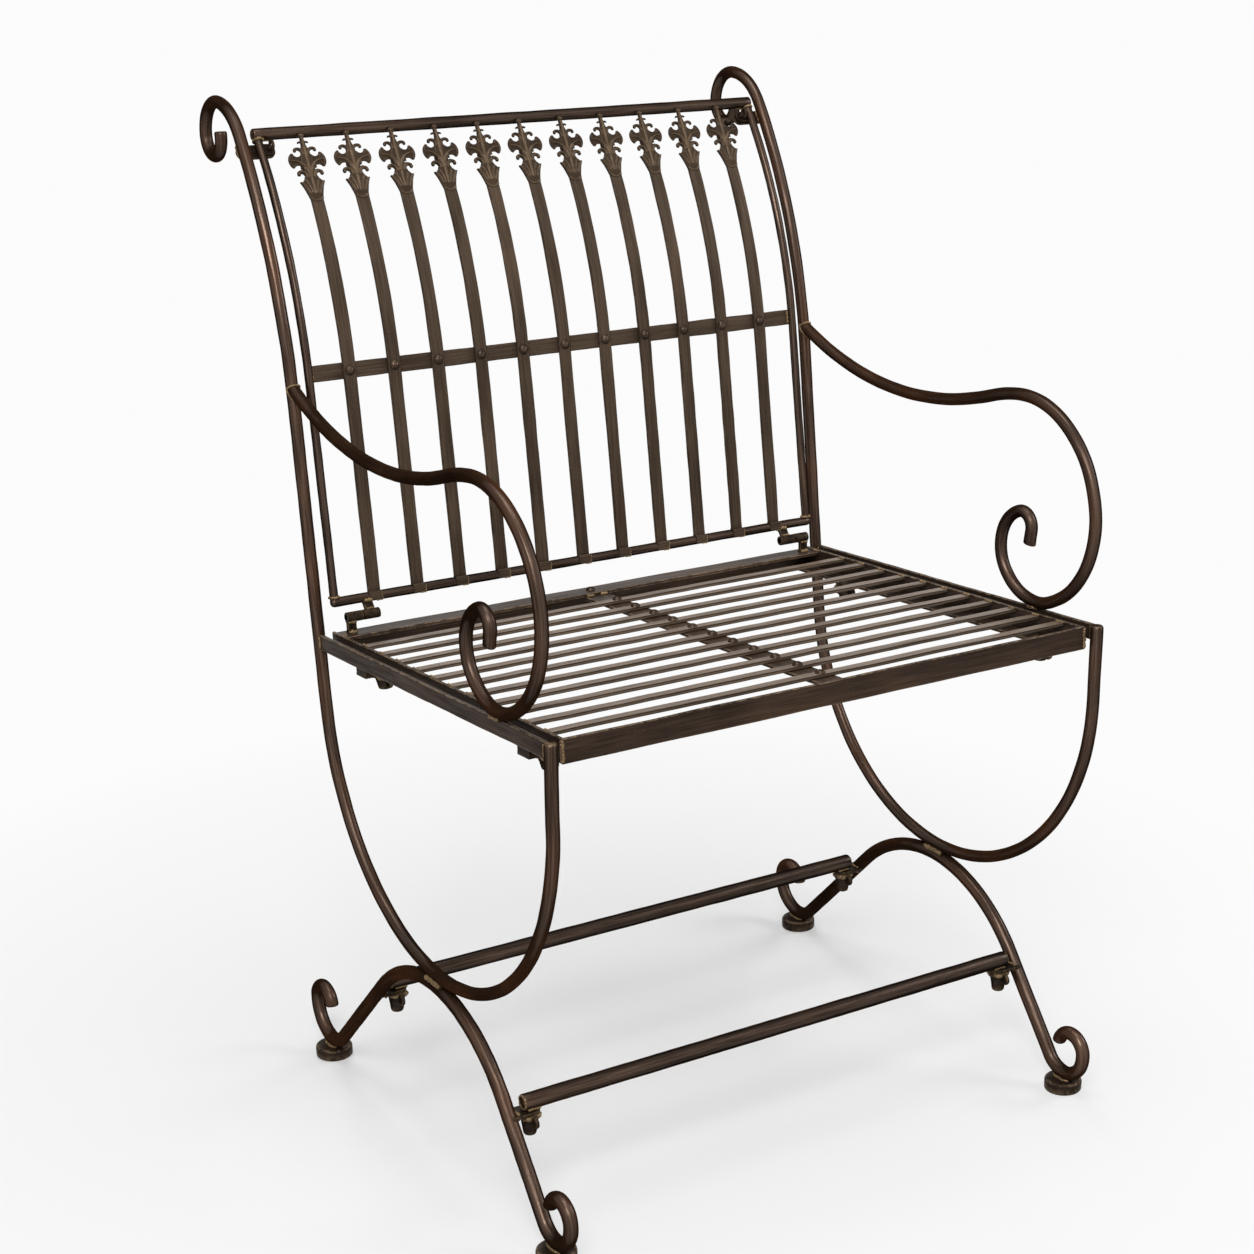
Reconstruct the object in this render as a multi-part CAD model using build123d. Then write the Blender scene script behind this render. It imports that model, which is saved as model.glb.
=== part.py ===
from build123d import *
import os
from math import atan2, cos, degrees, radians, sin, sqrt, tan

# Iron garden armchair in millimetres. +Z is up and the sitter faces -Y.
# The side frames are drawn in the plane of Y and Z, with Y = 0 at the middle of the U bend.

# Side frames: round bar bent in one upright plane
frame_half_width = 265.0     # middle of the chair to the middle of a side frame
bar_d = 11.0                 # bar of the posts and armrests
leg_bar_d = 12.5             # bar of the leg arches
weld_sink = 0.5              # depth to which one piece is let into the next at a weld

# Post: front upright, U under the seat, leaning rear upright, bow and scroll
u_radius = 205.0
post_lean = 6.5              # degrees from upright
post_straight = 259.0        # straight stretch above the U
post_bow_radius = 500.0      # bend to the rear
post_bow_turn = 27.5         # degrees
scroll_crown_radius = 55.0
scroll_rear_radius = 30.0
scroll_end_radius = 17.0
scroll_end_turn = 185.0      # degrees
scroll_tail = 4.0            # straight end

# Leg arch with a scroll at each foot
leg_crest_z = 163.0          # middle of the bar at the top of the arch
leg_crest_setback = 10.0     # crest behind the middle of the U
front_leg_radius = 152.0
front_leg_turn = 51.5        # degrees from level
rear_leg_radius = 150.0
rear_leg_turn = 44.0
front_foot_radius = 25.0
rear_foot_radius = 31.0
foot_curl_radius = 16.5
foot_curl_turn = 170.0       # degrees
foot_d = 34.0
foot_h = 11.0
foot_bevel = 1.5

# Side rail: flat bar between the uprights, parallel to the seat
seat_front_z = 447.0         # top of the side rail at the front upright
seat_tilt = 3.5              # degrees down to the rear
rail_h = 14.0
rail_t = 3.5
rail_outset = 0.5            # middle of the rail outside the middle of the bars

# Armrest, from its rest on the side rail
arm_setback = 83.0           # rest behind the front upright
arm_rest_radius = 52.0
arm_rest_front_turn = 20.0   # degrees ahead of the rest
arm_rest_rear_turn = 52.0    # degrees behind the rest
arm_front_radius = 86.0
arm_front_turn = 78.0
arm_nose_radius = 96.0
arm_nose_turn = 90.0
arm_shoulder_radius = 240.0
arm_shoulder_turn = 9.3
arm_dip_radius = 400.0
arm_stop = 1.2               # end of the dip ahead of the middle of the post
arm_curl_radius = 36.0
arm_curl_turn = 108.0
arm_end_radius = 13.0
arm_end_turn = 120.0
arm_tail = 12.0              # straight end

# Stretchers, their lugs, bolts and wing nuts
stretcher_d = 14.5
stretcher_gap = 13.0         # end of a stretcher inside the middle of a side frame
front_stretcher_run = 12.6   # down the straight leg from the end of the crest bend
rear_stretcher_run = 22.0
stretcher_bolt_inset = 6.0   # bolt from the end of the stretcher
lug_t = 3.0
lug_w = 18.0
bolt_d = 5.0
bolt_head_d = 10.0
bolt_head_h = 3.0
nut_d = 11.0
nut_h = 14.0
nut_cap = 2.0                # closed lower end of the nut
wing_t = 2.4
wing_ear_r = 5.2
wing_reach = 10.0            # middle of the nut to the middle of an ear
wing_drop = 6.0              # middle of an ear below the top of the nut

# Seat panel
seat_side_gap = 11.0         # side of the seat inside the middle of a side frame
seat_front_gap = 3.0         # front rail behind the middle of the front uprights
seat_bar_h = 20.0
seat_bar_t = 3.0
seat_slat_count = 11
seat_slat_w = 11.0
slat_t = 3.0
seat_pitch = 32.1
first_slat_y = 31.5          # first slat behind the middle of the front uprights
slat_drop = 1.0              # slats below the rim
rear_margin = 60.5           # rear edge of the seat behind the middle of the last slat
rear_flange_w = 23.5
rear_rivet_inset = 12.0      # last rivet ahead of the rear edge of the seat
ledge_w = 17.0               # strip along the foot of a side bar
strap_t = 3.0
seat_strap_w = 24.0

# Rivets
rivet_d = 4.0
rivet_head_d = 8.0
rivet_head_h = 2.6
rivet_tail_h = 1.2

# Back panel, measured along its curve from the level of the hinge axis
rod_gap = 15.0               # middle of a side rod inside the middle of a side frame
rod_d = 7.5
top_rail_d = 10.5
bottom_rail_d = 8.5
panel_straight = 200.0
panel_bow_radius = 440.0
panel_bow_turn = 28.8        # degrees of bow up to the top rail
bottom_rail_run = 12.5
back_strap_run = 210.0
back_strap_w = 14.0
back_slat_count = 11
back_slat_w = 12.0
back_end_gap = 38.0          # middle of the outer slats inside the side rods
finial_drop = 62.2           # foot of the finials below the top rail, along the curve
leaf_h = 60.4                # foot of a finial to the top of its bud
finial_t = 4.0

# Hinges
hinge_rise = 13.0            # axis above the rim of the seat
hinge_inset = 10.5           # axis ahead of the rear edge of the seat
hinge_lead = 8.0             # axis ahead of the panel
hinge_gap = 21.5             # middle of a hinge inside the side rod
knuckle_d = 9.0
knuckle_l = 15.5
knuckle_gap = 0.6            # between the two knuckles
hinge_lug_w = 9.0
hinge_lug_t = 4.0
pin_d = 5.0
pin_clearance = 0.06         # radial, in the turning knuckle

# Top corners of the back: tab behind the post, ear on the panel, ring screw
tab_t = 3.0
tab_h = 14.0
tab_half_length = 19.0
corner_drop = 13.0           # screw below the top rail, along the curve
screw_inset = 9.0            # screw inside the side rod
screw_ring_d = 10.0          # ring head of the screw
screw_ring_hole_d = 4.6
screw_ring_t = 2.6
screw_neck = 6.5             # middle of the ring ahead of the ear
ear_r = 5.5                  # round inner end of the ear
ear_t = 2.5
ear_gap = 0.4                # between the ear and the tab
screw_clearance = 1.6        # radial, in the tab

# Widths that follow the side frames
stretcher_half_length = frame_half_width - stretcher_gap
seat_half_width = frame_half_width - seat_side_gap
rod_x = frame_half_width - rod_gap
hinge_x = rod_x - hinge_gap
back_pitch = 2 * (rod_x - back_end_gap) / (back_slat_count - 1)


def solve(function, low, high):
    """Root of a rising function, by halving."""
    for _ in range(60):
        middle = (low + high) / 2
        if function(middle) < 0:
            low = middle
        else:
            high = middle
    return middle


def chain(start, heading, steps):
    """Edges, end point and end heading of tangent stretches.

    A step (length,) is straight. A step (radius, turn) is an arc, to the left for a positive turn.
    """
    edges = []
    point = start
    direction = Vector(cos(radians(heading)), sin(radians(heading)))
    for step in steps:
        if len(step) == 1:
            edge = Line(point, point + direction * step[0])
        else:
            edge = JernArc(point, direction, *step)
        edges.append(edge)
        point = edge @ 1
        direction = edge % 1
    return edges, point, degrees(atan2(direction.Y, direction.X))


def two_way(origin, heading, back_steps, ahead_steps):
    """Edges through an origin: back_steps leave it against the heading, ahead_steps along it."""
    _, end, end_heading = chain(origin, heading + 180, back_steps)
    turned = [step if len(step) == 1 else (step[0], -step[1]) for step in reversed(back_steps)]
    return chain(end, end_heading + 180, turned + ahead_steps)[0]


def round_bar(edges, diameter):
    """Round bar along edges drawn in the plane of Y and Z."""
    path = Plane.YZ * Wire(edges)
    return sweep(Plane(path @ 0, z_dir=path % 0) * Circle(diameter / 2), path=path)


def biggest(shape):
    """Largest solid that a cut leaves."""
    return shape.solids().sort_by(SortBy.VOLUME)[-1]


def pair(shape):
    """A piece of the right side and its mirror image."""
    return [shape, mirror(shape, about=Plane.YZ)]


def cross_bar(half_length, diameter, point):
    """Round bar along X through a point of the plane of Y and Z."""
    return Pos(0, point.X, point.Y) * Rot(0, 90, 0) * Cylinder(diameter / 2, 2 * half_length)


def slab(x0, x1, y0, y1, z0, z1):
    """Block between limits."""
    centre = Pos((x0 + x1) / 2, (y0 + y1) / 2, (z0 + z1) / 2)
    return centre * Box(x1 - x0, y1 - y0, z1 - z0)


def bent_point(start, lean, straight, radius, run):
    """Point and lean at a run along a straight stretch and the bow above it."""
    foot = Vector(sin(radians(lean)), cos(radians(lean)))
    if run <= straight:
        return start + foot * run, lean
    top = lean + degrees((run - straight) / radius)
    bend = Vector(cos(radians(lean)) - cos(radians(top)), sin(radians(top)) - sin(radians(lean)))
    return start + foot * straight + bend * radius, top


# Post bars
u_bottom_z = leg_crest_z + (bar_d + leg_bar_d) / 2 - weld_sink
u_centre_z = u_bottom_z + u_radius
lean_start = Vector(u_radius * cos(radians(post_lean)), u_centre_z - u_radius * sin(radians(post_lean)))
bow_start = bent_point(lean_start, post_lean, post_straight, post_bow_radius, post_straight)[0]


def post_y(z):
    """Middle of the post at a height on its straight stretch or its bow."""
    if z <= bow_start.Y:
        return lean_start.X + (z - lean_start.Y) * tan(radians(post_lean))
    rise = sin(radians(post_lean)) + (z - bow_start.Y) / post_bow_radius
    return bow_start.X + post_bow_radius * (cos(radians(post_lean)) - sqrt(1 - rise**2))


post_edges = chain(
    Vector(-u_radius, seat_front_z),
    -90,
    [
        (seat_front_z - u_centre_z,),
        (u_radius, 180 - post_lean),
        (post_straight,),
        (post_bow_radius, -post_bow_turn),
        (scroll_crown_radius, post_lean + post_bow_turn - 90),
        (scroll_rear_radius, -90),
        (scroll_end_radius, -scroll_end_turn),
        (scroll_tail,),
    ],
)[0]
post = Pos(frame_half_width, 0, 0) * round_bar(post_edges, bar_d)

# Leg arches, with straight stretches that bring both foot bends down to the feet
foot_bar_z = foot_h + leg_bar_d / 2 - weld_sink


def leg_straight(radius, turn, foot_radius):
    """Straight stretch between the crest bend and the foot bend."""
    bends = (radius + foot_radius) * (1 - cos(radians(turn)))
    return (leg_crest_z - foot_bar_z - bends) / sin(radians(turn))


def leg_point(radius, turn, run):
    """Distance from the crest and height at a run down the straight leg."""
    out = radius * sin(radians(turn)) + run * cos(radians(turn))
    down = radius * (1 - cos(radians(turn))) + run * sin(radians(turn))
    return out, leg_crest_z - down


front_straight = leg_straight(front_leg_radius, front_leg_turn, front_foot_radius)
rear_straight = leg_straight(rear_leg_radius, rear_leg_turn, rear_foot_radius)
leg_edges = two_way(
    Vector(leg_crest_setback, leg_crest_z),
    0,
    [
        (front_leg_radius, front_leg_turn),
        (front_straight,),
        (front_foot_radius, -90 - front_leg_turn),
        (foot_curl_radius, -foot_curl_turn),
    ],
    [
        (rear_leg_radius, -rear_leg_turn),
        (rear_straight,),
        (rear_foot_radius, 90 + rear_leg_turn),
        (foot_curl_radius, foot_curl_turn),
    ],
)
leg = Pos(frame_half_width, 0, 0) * round_bar(leg_edges, leg_bar_d) - post

# Feet under the lowest points of the foot bends
front_foot_out = leg_point(front_leg_radius, front_leg_turn, front_straight)[0]
rear_foot_out = leg_point(rear_leg_radius, rear_leg_turn, rear_straight)[0]
front_foot_y = leg_crest_setback - front_foot_out - front_foot_radius * sin(radians(front_leg_turn))
rear_foot_y = leg_crest_setback + rear_foot_out + rear_foot_radius * sin(radians(rear_leg_turn))
puck = Pos(0, 0, foot_h / 2) * Cylinder(foot_d / 2, foot_h)
puck = chamfer(puck.faces().sort_by(Axis.Z)[-1].edges(), foot_bevel)
feet = []
for foot_y in (front_foot_y, rear_foot_y):
    feet += pair(biggest(Pos(frame_half_width, foot_y, 0) * puck - leg))

# Seat frame of reference: origin on the front uprights, level with the side rails
seat_place = Pos(0, -u_radius, seat_front_z) * Rot(-seat_tilt, 0, 0)


def seat_z(y):
    """Height of the seat plane at a Y of the side view."""
    return seat_front_z - (y + u_radius) * tan(radians(seat_tilt))


rail_rear_y = solve(lambda y: y - post_y(seat_z(y) - rail_h / 2), 0, 2 * u_radius)
rail_length = (rail_rear_y + u_radius) / cos(radians(seat_tilt))
rail_inner_x = frame_half_width + rail_outset - rail_t / 2
rail_block = slab(rail_inner_x, rail_inner_x + rail_t, 0, rail_length, -rail_h, 0)
side_rail = biggest(seat_place * rail_block - post)

# Armrests: curl, rest, nose and dip, with the dip carried on to the post
arm_rest = Vector(-u_radius + arm_setback, seat_z(-u_radius + arm_setback) + bar_d / 2 - weld_sink)
arm_curl = [
    (arm_rest_radius, arm_rest_rear_turn),
    (arm_curl_radius, arm_curl_turn),
    (arm_end_radius, arm_end_turn),
    (arm_tail,),
]
arm_nose = [
    (arm_rest_radius, -arm_rest_front_turn),
    (arm_front_radius, -arm_front_turn),
    (arm_nose_radius, -arm_nose_turn),
    (arm_shoulder_radius, -arm_shoulder_turn),
]


def arm_past_post(turn):
    """How far a dip of a given turn ends behind its stop at the post."""
    end = chain(arm_rest, 180, arm_nose + [(arm_dip_radius, turn)])[1]
    return end.X - post_y(end.Y) + arm_stop


arm_dip_turn = solve(arm_past_post, 20, 70)
arm_edges = two_way(arm_rest, 180, arm_curl, arm_nose + [(arm_dip_radius, arm_dip_turn)])
arm = Pos(frame_half_width, 0, 0) * round_bar(arm_edges, bar_d)
arm = biggest(arm - post - side_rail)


# Fasteners
def dome(diameter, height):
    """Domed head on Z = 0."""
    radius = (height**2 + diameter**2 / 4) / (2 * height)
    ball = Pos(0, 0, height - radius) * Sphere(radius)
    return ball & slab(-radius, radius, -radius, radius, 0, 2 * radius)


def wing_nut():
    """Capped wing nut below Z = 0 with its round ears along Y."""
    ear = Pos(0, wing_reach, -wing_drop) * Rot(0, 90, 0) * Cylinder(wing_ear_r, wing_t)
    web = Pos(0, wing_reach / 2, -wing_drop) * Box(wing_t, wing_reach, wing_ear_r)
    body = Pos(0, 0, -nut_h / 2) * Cylinder(nut_d / 2, nut_h)
    nut = body + ear + web + mirror(ear + web, about=Plane.XZ)
    return nut - Pos(0, 0, -nut_h / 2 + nut_cap / 2) * Cylinder(bolt_d / 2, nut_h - nut_cap)


def stud(grip):
    """Threaded stud from Z = 0 through the grip and into the nut."""
    length = grip + nut_h - nut_cap
    return Pos(0, 0, -length / 2) * Cylinder(bolt_d / 2, length)


def rivet(grip):
    """Rivet with a domed head above Z = 0 and a flat tail below the grip."""
    shank = Pos(0, 0, -grip / 2) * Cylinder(rivet_d / 2, grip)
    tail = Pos(0, 0, -grip - rivet_tail_h / 2) * Cylinder(rivet_head_d / 2, rivet_tail_h)
    return dome(rivet_head_d, rivet_head_h) + shank + tail


# Stretchers on lugs at the middle of the leg bars
front_out, front_leg_z = leg_point(front_leg_radius, front_leg_turn, front_stretcher_run)
rear_out, rear_leg_z = leg_point(rear_leg_radius, rear_leg_turn, rear_stretcher_run)
stretcher_bolt_x = stretcher_half_length - stretcher_bolt_inset
stretchers = []
stretcher_lugs = []
bolts = []
nuts = []
for y, leg_z in ((leg_crest_setback - front_out, front_leg_z), (leg_crest_setback + rear_out, rear_leg_z)):
    lug_top = leg_z + lug_t / 2
    lug_bottom = leg_z - lug_t / 2
    plate = slab(stretcher_bolt_x, frame_half_width, y - lug_w / 2, y + lug_w / 2, lug_bottom, lug_top)
    plate += Pos(stretcher_bolt_x, y, leg_z) * Cylinder(lug_w / 2, lug_t)
    axis_z = lug_top + stretcher_d / 2 - weld_sink
    bolt = Pos(stretcher_bolt_x, y, axis_z) * stud(axis_z - lug_bottom)
    stretcher_lugs += pair(biggest(plate - leg - bolt))
    bar = cross_bar(stretcher_half_length, stretcher_d, Vector(y, axis_z))
    for cut in pair(plate) + pair(bolt):
        bar -= cut
    stretchers.append(biggest(bar))
    bolts += pair(bolt)
    nuts += pair(Pos(stretcher_bolt_x, y, lug_bottom) * wing_nut())

# Seat panel, built level in the seat frame of reference
last_slat_y = first_slat_y + (seat_slat_count - 1) * seat_pitch
seat_rear_y = last_slat_y + rear_margin
rear_rivet_y = seat_rear_y - rear_rivet_inset
inner_x = seat_half_width - seat_bar_t
front_back_y = seat_front_gap + seat_bar_t
front_rail = slab(-seat_half_width, seat_half_width, seat_front_gap, front_back_y, -seat_bar_h, 0)
side_bar = slab(inner_x, seat_half_width, front_back_y, seat_rear_y, -seat_bar_h, 0)
slat_bottom = -slat_drop - slat_t
rear_rail = slab(-inner_x, inner_x, seat_rear_y - rear_flange_w, seat_rear_y, slat_bottom, -slat_drop)
rear_rail += slab(-inner_x, inner_x, seat_rear_y - seat_bar_t, seat_rear_y, -seat_bar_h, slat_bottom)
rear_front_y = seat_rear_y - seat_bar_t
ledge_top = strap_t - seat_bar_h
ledge = slab(inner_x - ledge_w, inner_x, front_back_y, rear_front_y, -seat_bar_h, ledge_top)
strap_bottom = slat_bottom - strap_t
seat_strap = slab(-seat_strap_w / 2, seat_strap_w / 2, front_back_y, rear_front_y, strap_bottom, slat_bottom)
seat_rivet = Pos(0, 0, -slat_drop) * rivet(slat_t + strap_t)
seat_rivet_hole = Cylinder(rivet_d / 2, 2 * seat_bar_h)
slat = slab(-inner_x, inner_x, -seat_slat_w / 2, seat_slat_w / 2, slat_bottom, -slat_drop) - seat_rivet_hole
slat_ys = [first_slat_y + i * seat_pitch for i in range(seat_slat_count)]
seat_slats = [Pos(0, y, 0) * slat for y in slat_ys]
rivet_ys = slat_ys + [rear_rivet_y]
seat_rivets = [Pos(0, y, 0) * seat_rivet for y in rivet_ys]
seat_strap -= [Pos(0, y, 0) * seat_rivet_hole for y in rivet_ys]
rear_rail -= Pos(0, rear_rivet_y, 0) * seat_rivet_hole

# Seat lugs: bent strips from the side rails to under the side bars, with bolts through the ledges
seat_bolt_x = inner_x - ledge_w / 2
seat_bolts = []
seat_nuts = []
seat_lugs = []
for y in (first_slat_y + seat_pitch / 2, last_slat_y - seat_pitch / 2):
    lug_bottom = -seat_bar_h - lug_t
    lug = slab(rail_inner_x - lug_t, rail_inner_x, y - lug_w / 2, y + lug_w / 2, -seat_bar_h, -rail_h / 3)
    lug += slab(seat_bolt_x, rail_inner_x, y - lug_w / 2, y + lug_w / 2, lug_bottom, -seat_bar_h)
    lug += Pos(seat_bolt_x, y, -seat_bar_h - lug_t / 2) * Cylinder(lug_w / 2, lug_t)
    bolt = stud(ledge_top - lug_bottom) + dome(bolt_head_d, bolt_head_h)
    bolt = Pos(seat_bolt_x, y, ledge_top) * bolt
    seat_lugs += pair(lug - bolt)
    ledge -= bolt
    seat_bolts += pair(bolt)
    seat_nuts += pair(Pos(seat_bolt_x, y, lug_bottom) * wing_nut())

bolts += [seat_place * piece for piece in seat_bolts]
nuts += [seat_place * piece for piece in seat_nuts]

# Back panel: its straight stretch starts behind the hinge axis, and its top rail is in line with the posts
hinge_place = seat_place * Pos(0, seat_rear_y - hinge_inset, hinge_rise)
hinge = Vector(hinge_place.position.Y, hinge_place.position.Z)
panel_foot = hinge + Vector(hinge_lead, 0)
panel_run = panel_straight + panel_bow_radius * radians(panel_bow_turn)
finial_run = panel_run - finial_drop


def top_past_post(lean):
    """How far the top rail lies behind the posts for a lean of the panel."""
    top = bent_point(panel_foot, lean, panel_straight, panel_bow_radius, panel_run)[0]
    return top.X - post_y(top.Y)


panel_lean = solve(top_past_post, 0, 20)


def panel_point(run):
    """Point and lean of the panel curve at a run."""
    return bent_point(panel_foot, panel_lean, panel_straight, panel_bow_radius, run)


def panel_place(run):
    """Place on the panel curve: X to the right, Y up along the curve, Z to the front."""
    point, lean = panel_point(run)
    return Pos(0, point.X, point.Y) * Rot(90 - lean, 0, 0)


def panel_edges(run0, run1):
    """Edges of the panel curve between two runs."""
    start, lean = panel_point(run0)
    bow = degrees((run1 - max(run0, panel_straight)) / panel_bow_radius)
    steps = [(panel_bow_radius, -bow)]
    if run0 < panel_straight:
        steps.insert(0, (panel_straight - run0,))
    return chain(start, 90 - lean, steps)[0]


def panel_strip(run0, run1, width, thickness, back):
    """Flat bar that follows the panel curve, its middle set back behind the curve."""
    path = Plane.YZ * Wire(panel_edges(run0, run1))
    section = panel_place(run0) * Rot(-90, 0, 0) * Pos(0, back, 0) * Rectangle(width, thickness)
    return sweep(section, path=path)


top_rail = cross_bar(rod_x + rod_d / 2, top_rail_d, panel_point(panel_run)[0])
bottom_point = panel_point(bottom_rail_run)[0]
bottom_rail = cross_bar(rod_x + rod_d / 2, bottom_rail_d, bottom_point)
rod = Pos(rod_x, 0, 0) * round_bar(panel_edges(bottom_rail_run, panel_run), rod_d)
rod = biggest(rod - top_rail - bottom_rail)

# Back slats and strap, riveted together
back_xs = [(i - (back_slat_count - 1) / 2) * back_pitch for i in range(back_slat_count)]
back_rivet_hole = panel_place(back_strap_run) * Cylinder(rivet_d / 2, 4 * (slat_t + strap_t))
back_slat = panel_strip(bottom_rail_run, finial_run, back_slat_w, slat_t, 0)
back_slat = biggest(back_slat - bottom_rail - back_rivet_hole)
strap_back = (slat_t + strap_t) / 2
back_strap = panel_strip(
    back_strap_run - back_strap_w / 2, back_strap_run + back_strap_w / 2, 2 * rod_x, strap_t, strap_back
)
for cut in pair(rod):
    back_strap -= cut
for x in back_xs:
    back_strap -= Pos(x, 0, 0) * back_rivet_hole
back_strap = biggest(back_strap)
back_rivet = panel_place(back_strap_run) * Pos(0, 0, slat_t / 2) * rivet(slat_t + strap_t)
back_rivet = biggest(back_rivet - back_strap)


# Finial: cast leaf with a cup, two pairs of hooks, a pair of lobes, barbs and a bud
def leaf_half():
    """Right half of the leaf in hundredths of its height, X outward and Y up from the cup."""
    stem = Polygon(
        (0, 0),
        (10.3, 0),
        (16.9, 25.8),
        (10.6, 28.8),
        (8.3, 33.9),
        (7.3, 43.0),
        (9.3, 54.6),
        (6.6, 69.5),
        (3.1, 78.6),
        (2.6, 92.7),
        (0, 92.7),
        align=None,
    )
    lower_hook = SlotArc(ThreePointArc((6.6, 33.1), (14.2, 41.4), (18.0, 37.1)), 4.3)
    lobe_lines = [
        ThreePointArc((6.6, 43.0), (14.6, 51.0), (23.8, 46.7)),
        ThreePointArc((23.8, 46.7), (29.0, 57.9), (21.7, 67.1)),
        ThreePointArc((21.7, 67.1), (14.2, 60.3), (7.6, 64.6)),
        Line((7.6, 64.6), (6.6, 43.0)),
    ]
    lobe = make_face(lobe_lines)
    upper_hook = SlotArc(ThreePointArc((5.0, 66.2), (12.3, 75.5), (15.9, 73.2)), 4.0)
    barb = SlotArc(ThreePointArc((1.7, 78.8), (5.3, 82.1), (7.9, 83.4)), 2.6)
    bud = Pos(0, 95.2) * Circle(4.8)
    return stem + lower_hook + lobe + upper_hook + barb + bud


leaf = leaf_half()
leaf = scale(leaf + mirror(leaf, about=Plane.YZ), leaf_h / 100)
finial = panel_place(finial_run) * extrude(leaf, finial_t / 2, both=True)
finial = biggest(finial - top_rail)

# Hinges: the seat knuckle and its pin stay with the seat, the back knuckle turns on the pin
rear_rail_piece = seat_place * rear_rail
seat_knuckle_x = hinge_x + (knuckle_l + knuckle_gap) / 2
back_knuckle_x = hinge_x - (knuckle_l + knuckle_gap) / 2
barrel = hinge_place * Rot(0, 90, 0) * Cylinder(knuckle_d / 2, knuckle_l)
seat_foot = hinge_place * slab(
    -hinge_lug_w / 2, hinge_lug_w / 2, -hinge_lug_t / 2, hinge_lug_t / 2, -hinge_rise - slat_drop, 0
)
seat_foot = Pos((knuckle_l - hinge_lug_w) / 2, 0, 0) * seat_foot
seat_knuckle = Pos(seat_knuckle_x, 0, 0) * (barrel + seat_foot)
seat_bore = hinge_place * Rot(0, 90, 0) * Cylinder(pin_d / 2, 4 * rod_x)
seat_knuckle = biggest(seat_knuckle - seat_bore - rear_rail_piece)
lug_reach = bottom_point - hinge
lug_turn = degrees(atan2(lug_reach.X, lug_reach.Y))
back_foot = hinge_place * Rot(seat_tilt - lug_turn, 0, 0) * slab(
    -hinge_lug_w / 2, hinge_lug_w / 2, -hinge_lug_t / 2, hinge_lug_t / 2, 0, lug_reach.length
)
back_bore = hinge_place * Rot(0, 90, 0) * Cylinder(pin_d / 2 + pin_clearance, 4 * rod_x)
back_knuckle = Pos(back_knuckle_x, 0, 0) * (barrel + back_foot)
back_knuckle = biggest(back_knuckle - back_bore - bottom_rail)
pin_l = 2 * knuckle_l + knuckle_gap
pin = Pos(hinge_x, 0, 0) * hinge_place * Rot(0, 90, 0) * Cylinder(pin_d / 2, pin_l)

# Top corners: tab welded behind the post, ear in the corner of the panel, ring screw through both
corner = panel_place(panel_run - corner_drop)
screw_x = rod_x - screw_inset
tab_front = -bar_d / 2 + weld_sink
tab_x = frame_half_width + bar_d / 2 - tab_half_length
tab = corner * slab(
    tab_x - tab_half_length, tab_x + tab_half_length, -tab_h / 2, tab_h / 2, tab_front - tab_t, tab_front
)
tab_hole = corner * Pos(screw_x, 0, tab_front) * Cylinder(bolt_d / 2 + screw_clearance, 4 * tab_t)
tab = biggest(tab - post - tab_hole)
ear_back = tab_front + ear_gap
ear_front = ear_back + ear_t
ear = slab(screw_x, rod_x, -ear_r, corner_drop, ear_back, ear_front)
ear += slab(screw_x - ear_r, screw_x, 0, corner_drop, ear_back, ear_front)
ear += Pos(screw_x, 0, ear_back + ear_t / 2) * Cylinder(ear_r, ear_t)
ring = Pos(0, 0, screw_neck) * Rot(0, 90, 0) * Cylinder(screw_ring_d / 2, screw_ring_t)
ring -= Pos(0, 0, screw_neck) * Rot(0, 90, 0) * Cylinder(screw_ring_hole_d / 2, 2 * screw_ring_t)
screw_tail = ear_t + ear_gap + tab_t
neck_l = screw_neck - (screw_ring_d + screw_ring_hole_d) / 4
shank = Pos(0, 0, (neck_l - screw_tail) / 2) * Cylinder(bolt_d / 2, neck_l + screw_tail)
ring_screw = corner * Pos(screw_x, 0, ear_front) * (ring + shank)
ear = biggest(corner * ear - rod - top_rail - ring_screw)

# Pieces by node name
nodes = {
    "right_back_post": [post],
    "left_back_post": [pair(post)[1]],
    "right_leg_arch": [leg],
    "left_leg_arch": [pair(leg)[1]],
    "right_armrest": [arm],
    "left_armrest": [pair(arm)[1]],
    "right_side_rail": [side_rail],
    "left_side_rail": [pair(side_rail)[1]],
    "feet": feet,
    "front_stretcher": [stretchers[0]],
    "rear_stretcher": [stretchers[1]],
    "stretcher_lugs": stretcher_lugs,
    "seat_lugs": [seat_place * lug for lug in seat_lugs],
    "bolts": bolts,
    "wing_nuts": nuts,
    "seat_front_rail": [seat_place * front_rail],
    "seat_rear_rail": [rear_rail_piece],
    "seat_right_bar": [seat_place * side_bar],
    "seat_left_bar": [seat_place * pair(side_bar)[1]],
    "seat_ledges": [seat_place * piece for piece in pair(ledge)],
    "seat_strap": [seat_place * seat_strap],
    "seat_rivets": [seat_place * piece for piece in seat_rivets],
    "hinge_seat_knuckles": pair(seat_knuckle),
    "hinge_pins": pair(pin),
    "back_tabs": pair(tab),
    "back_top_rail": [top_rail],
    "back_bottom_rail": [bottom_rail],
    "back_right_rod": [rod],
    "back_left_rod": [pair(rod)[1]],
    "back_strap": [back_strap],
    "back_rivets": [Pos(x, 0, 0) * back_rivet for x in back_xs],
    "back_finials": [Pos(x, 0, 0) * finial for x in back_xs],
    "hinge_back_knuckles": pair(back_knuckle),
    "back_ears": pair(ear),
    "back_ring_screws": pair(ring_screw),
}
for i, piece in enumerate(seat_slats):
    nodes[f"seat_slat_{i + 1:02d}"] = [seat_place * piece]
for i, x in enumerate(back_xs):
    nodes[f"back_slat_{i + 1:02d}"] = [Pos(x, 0, 0) * back_slat]

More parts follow.
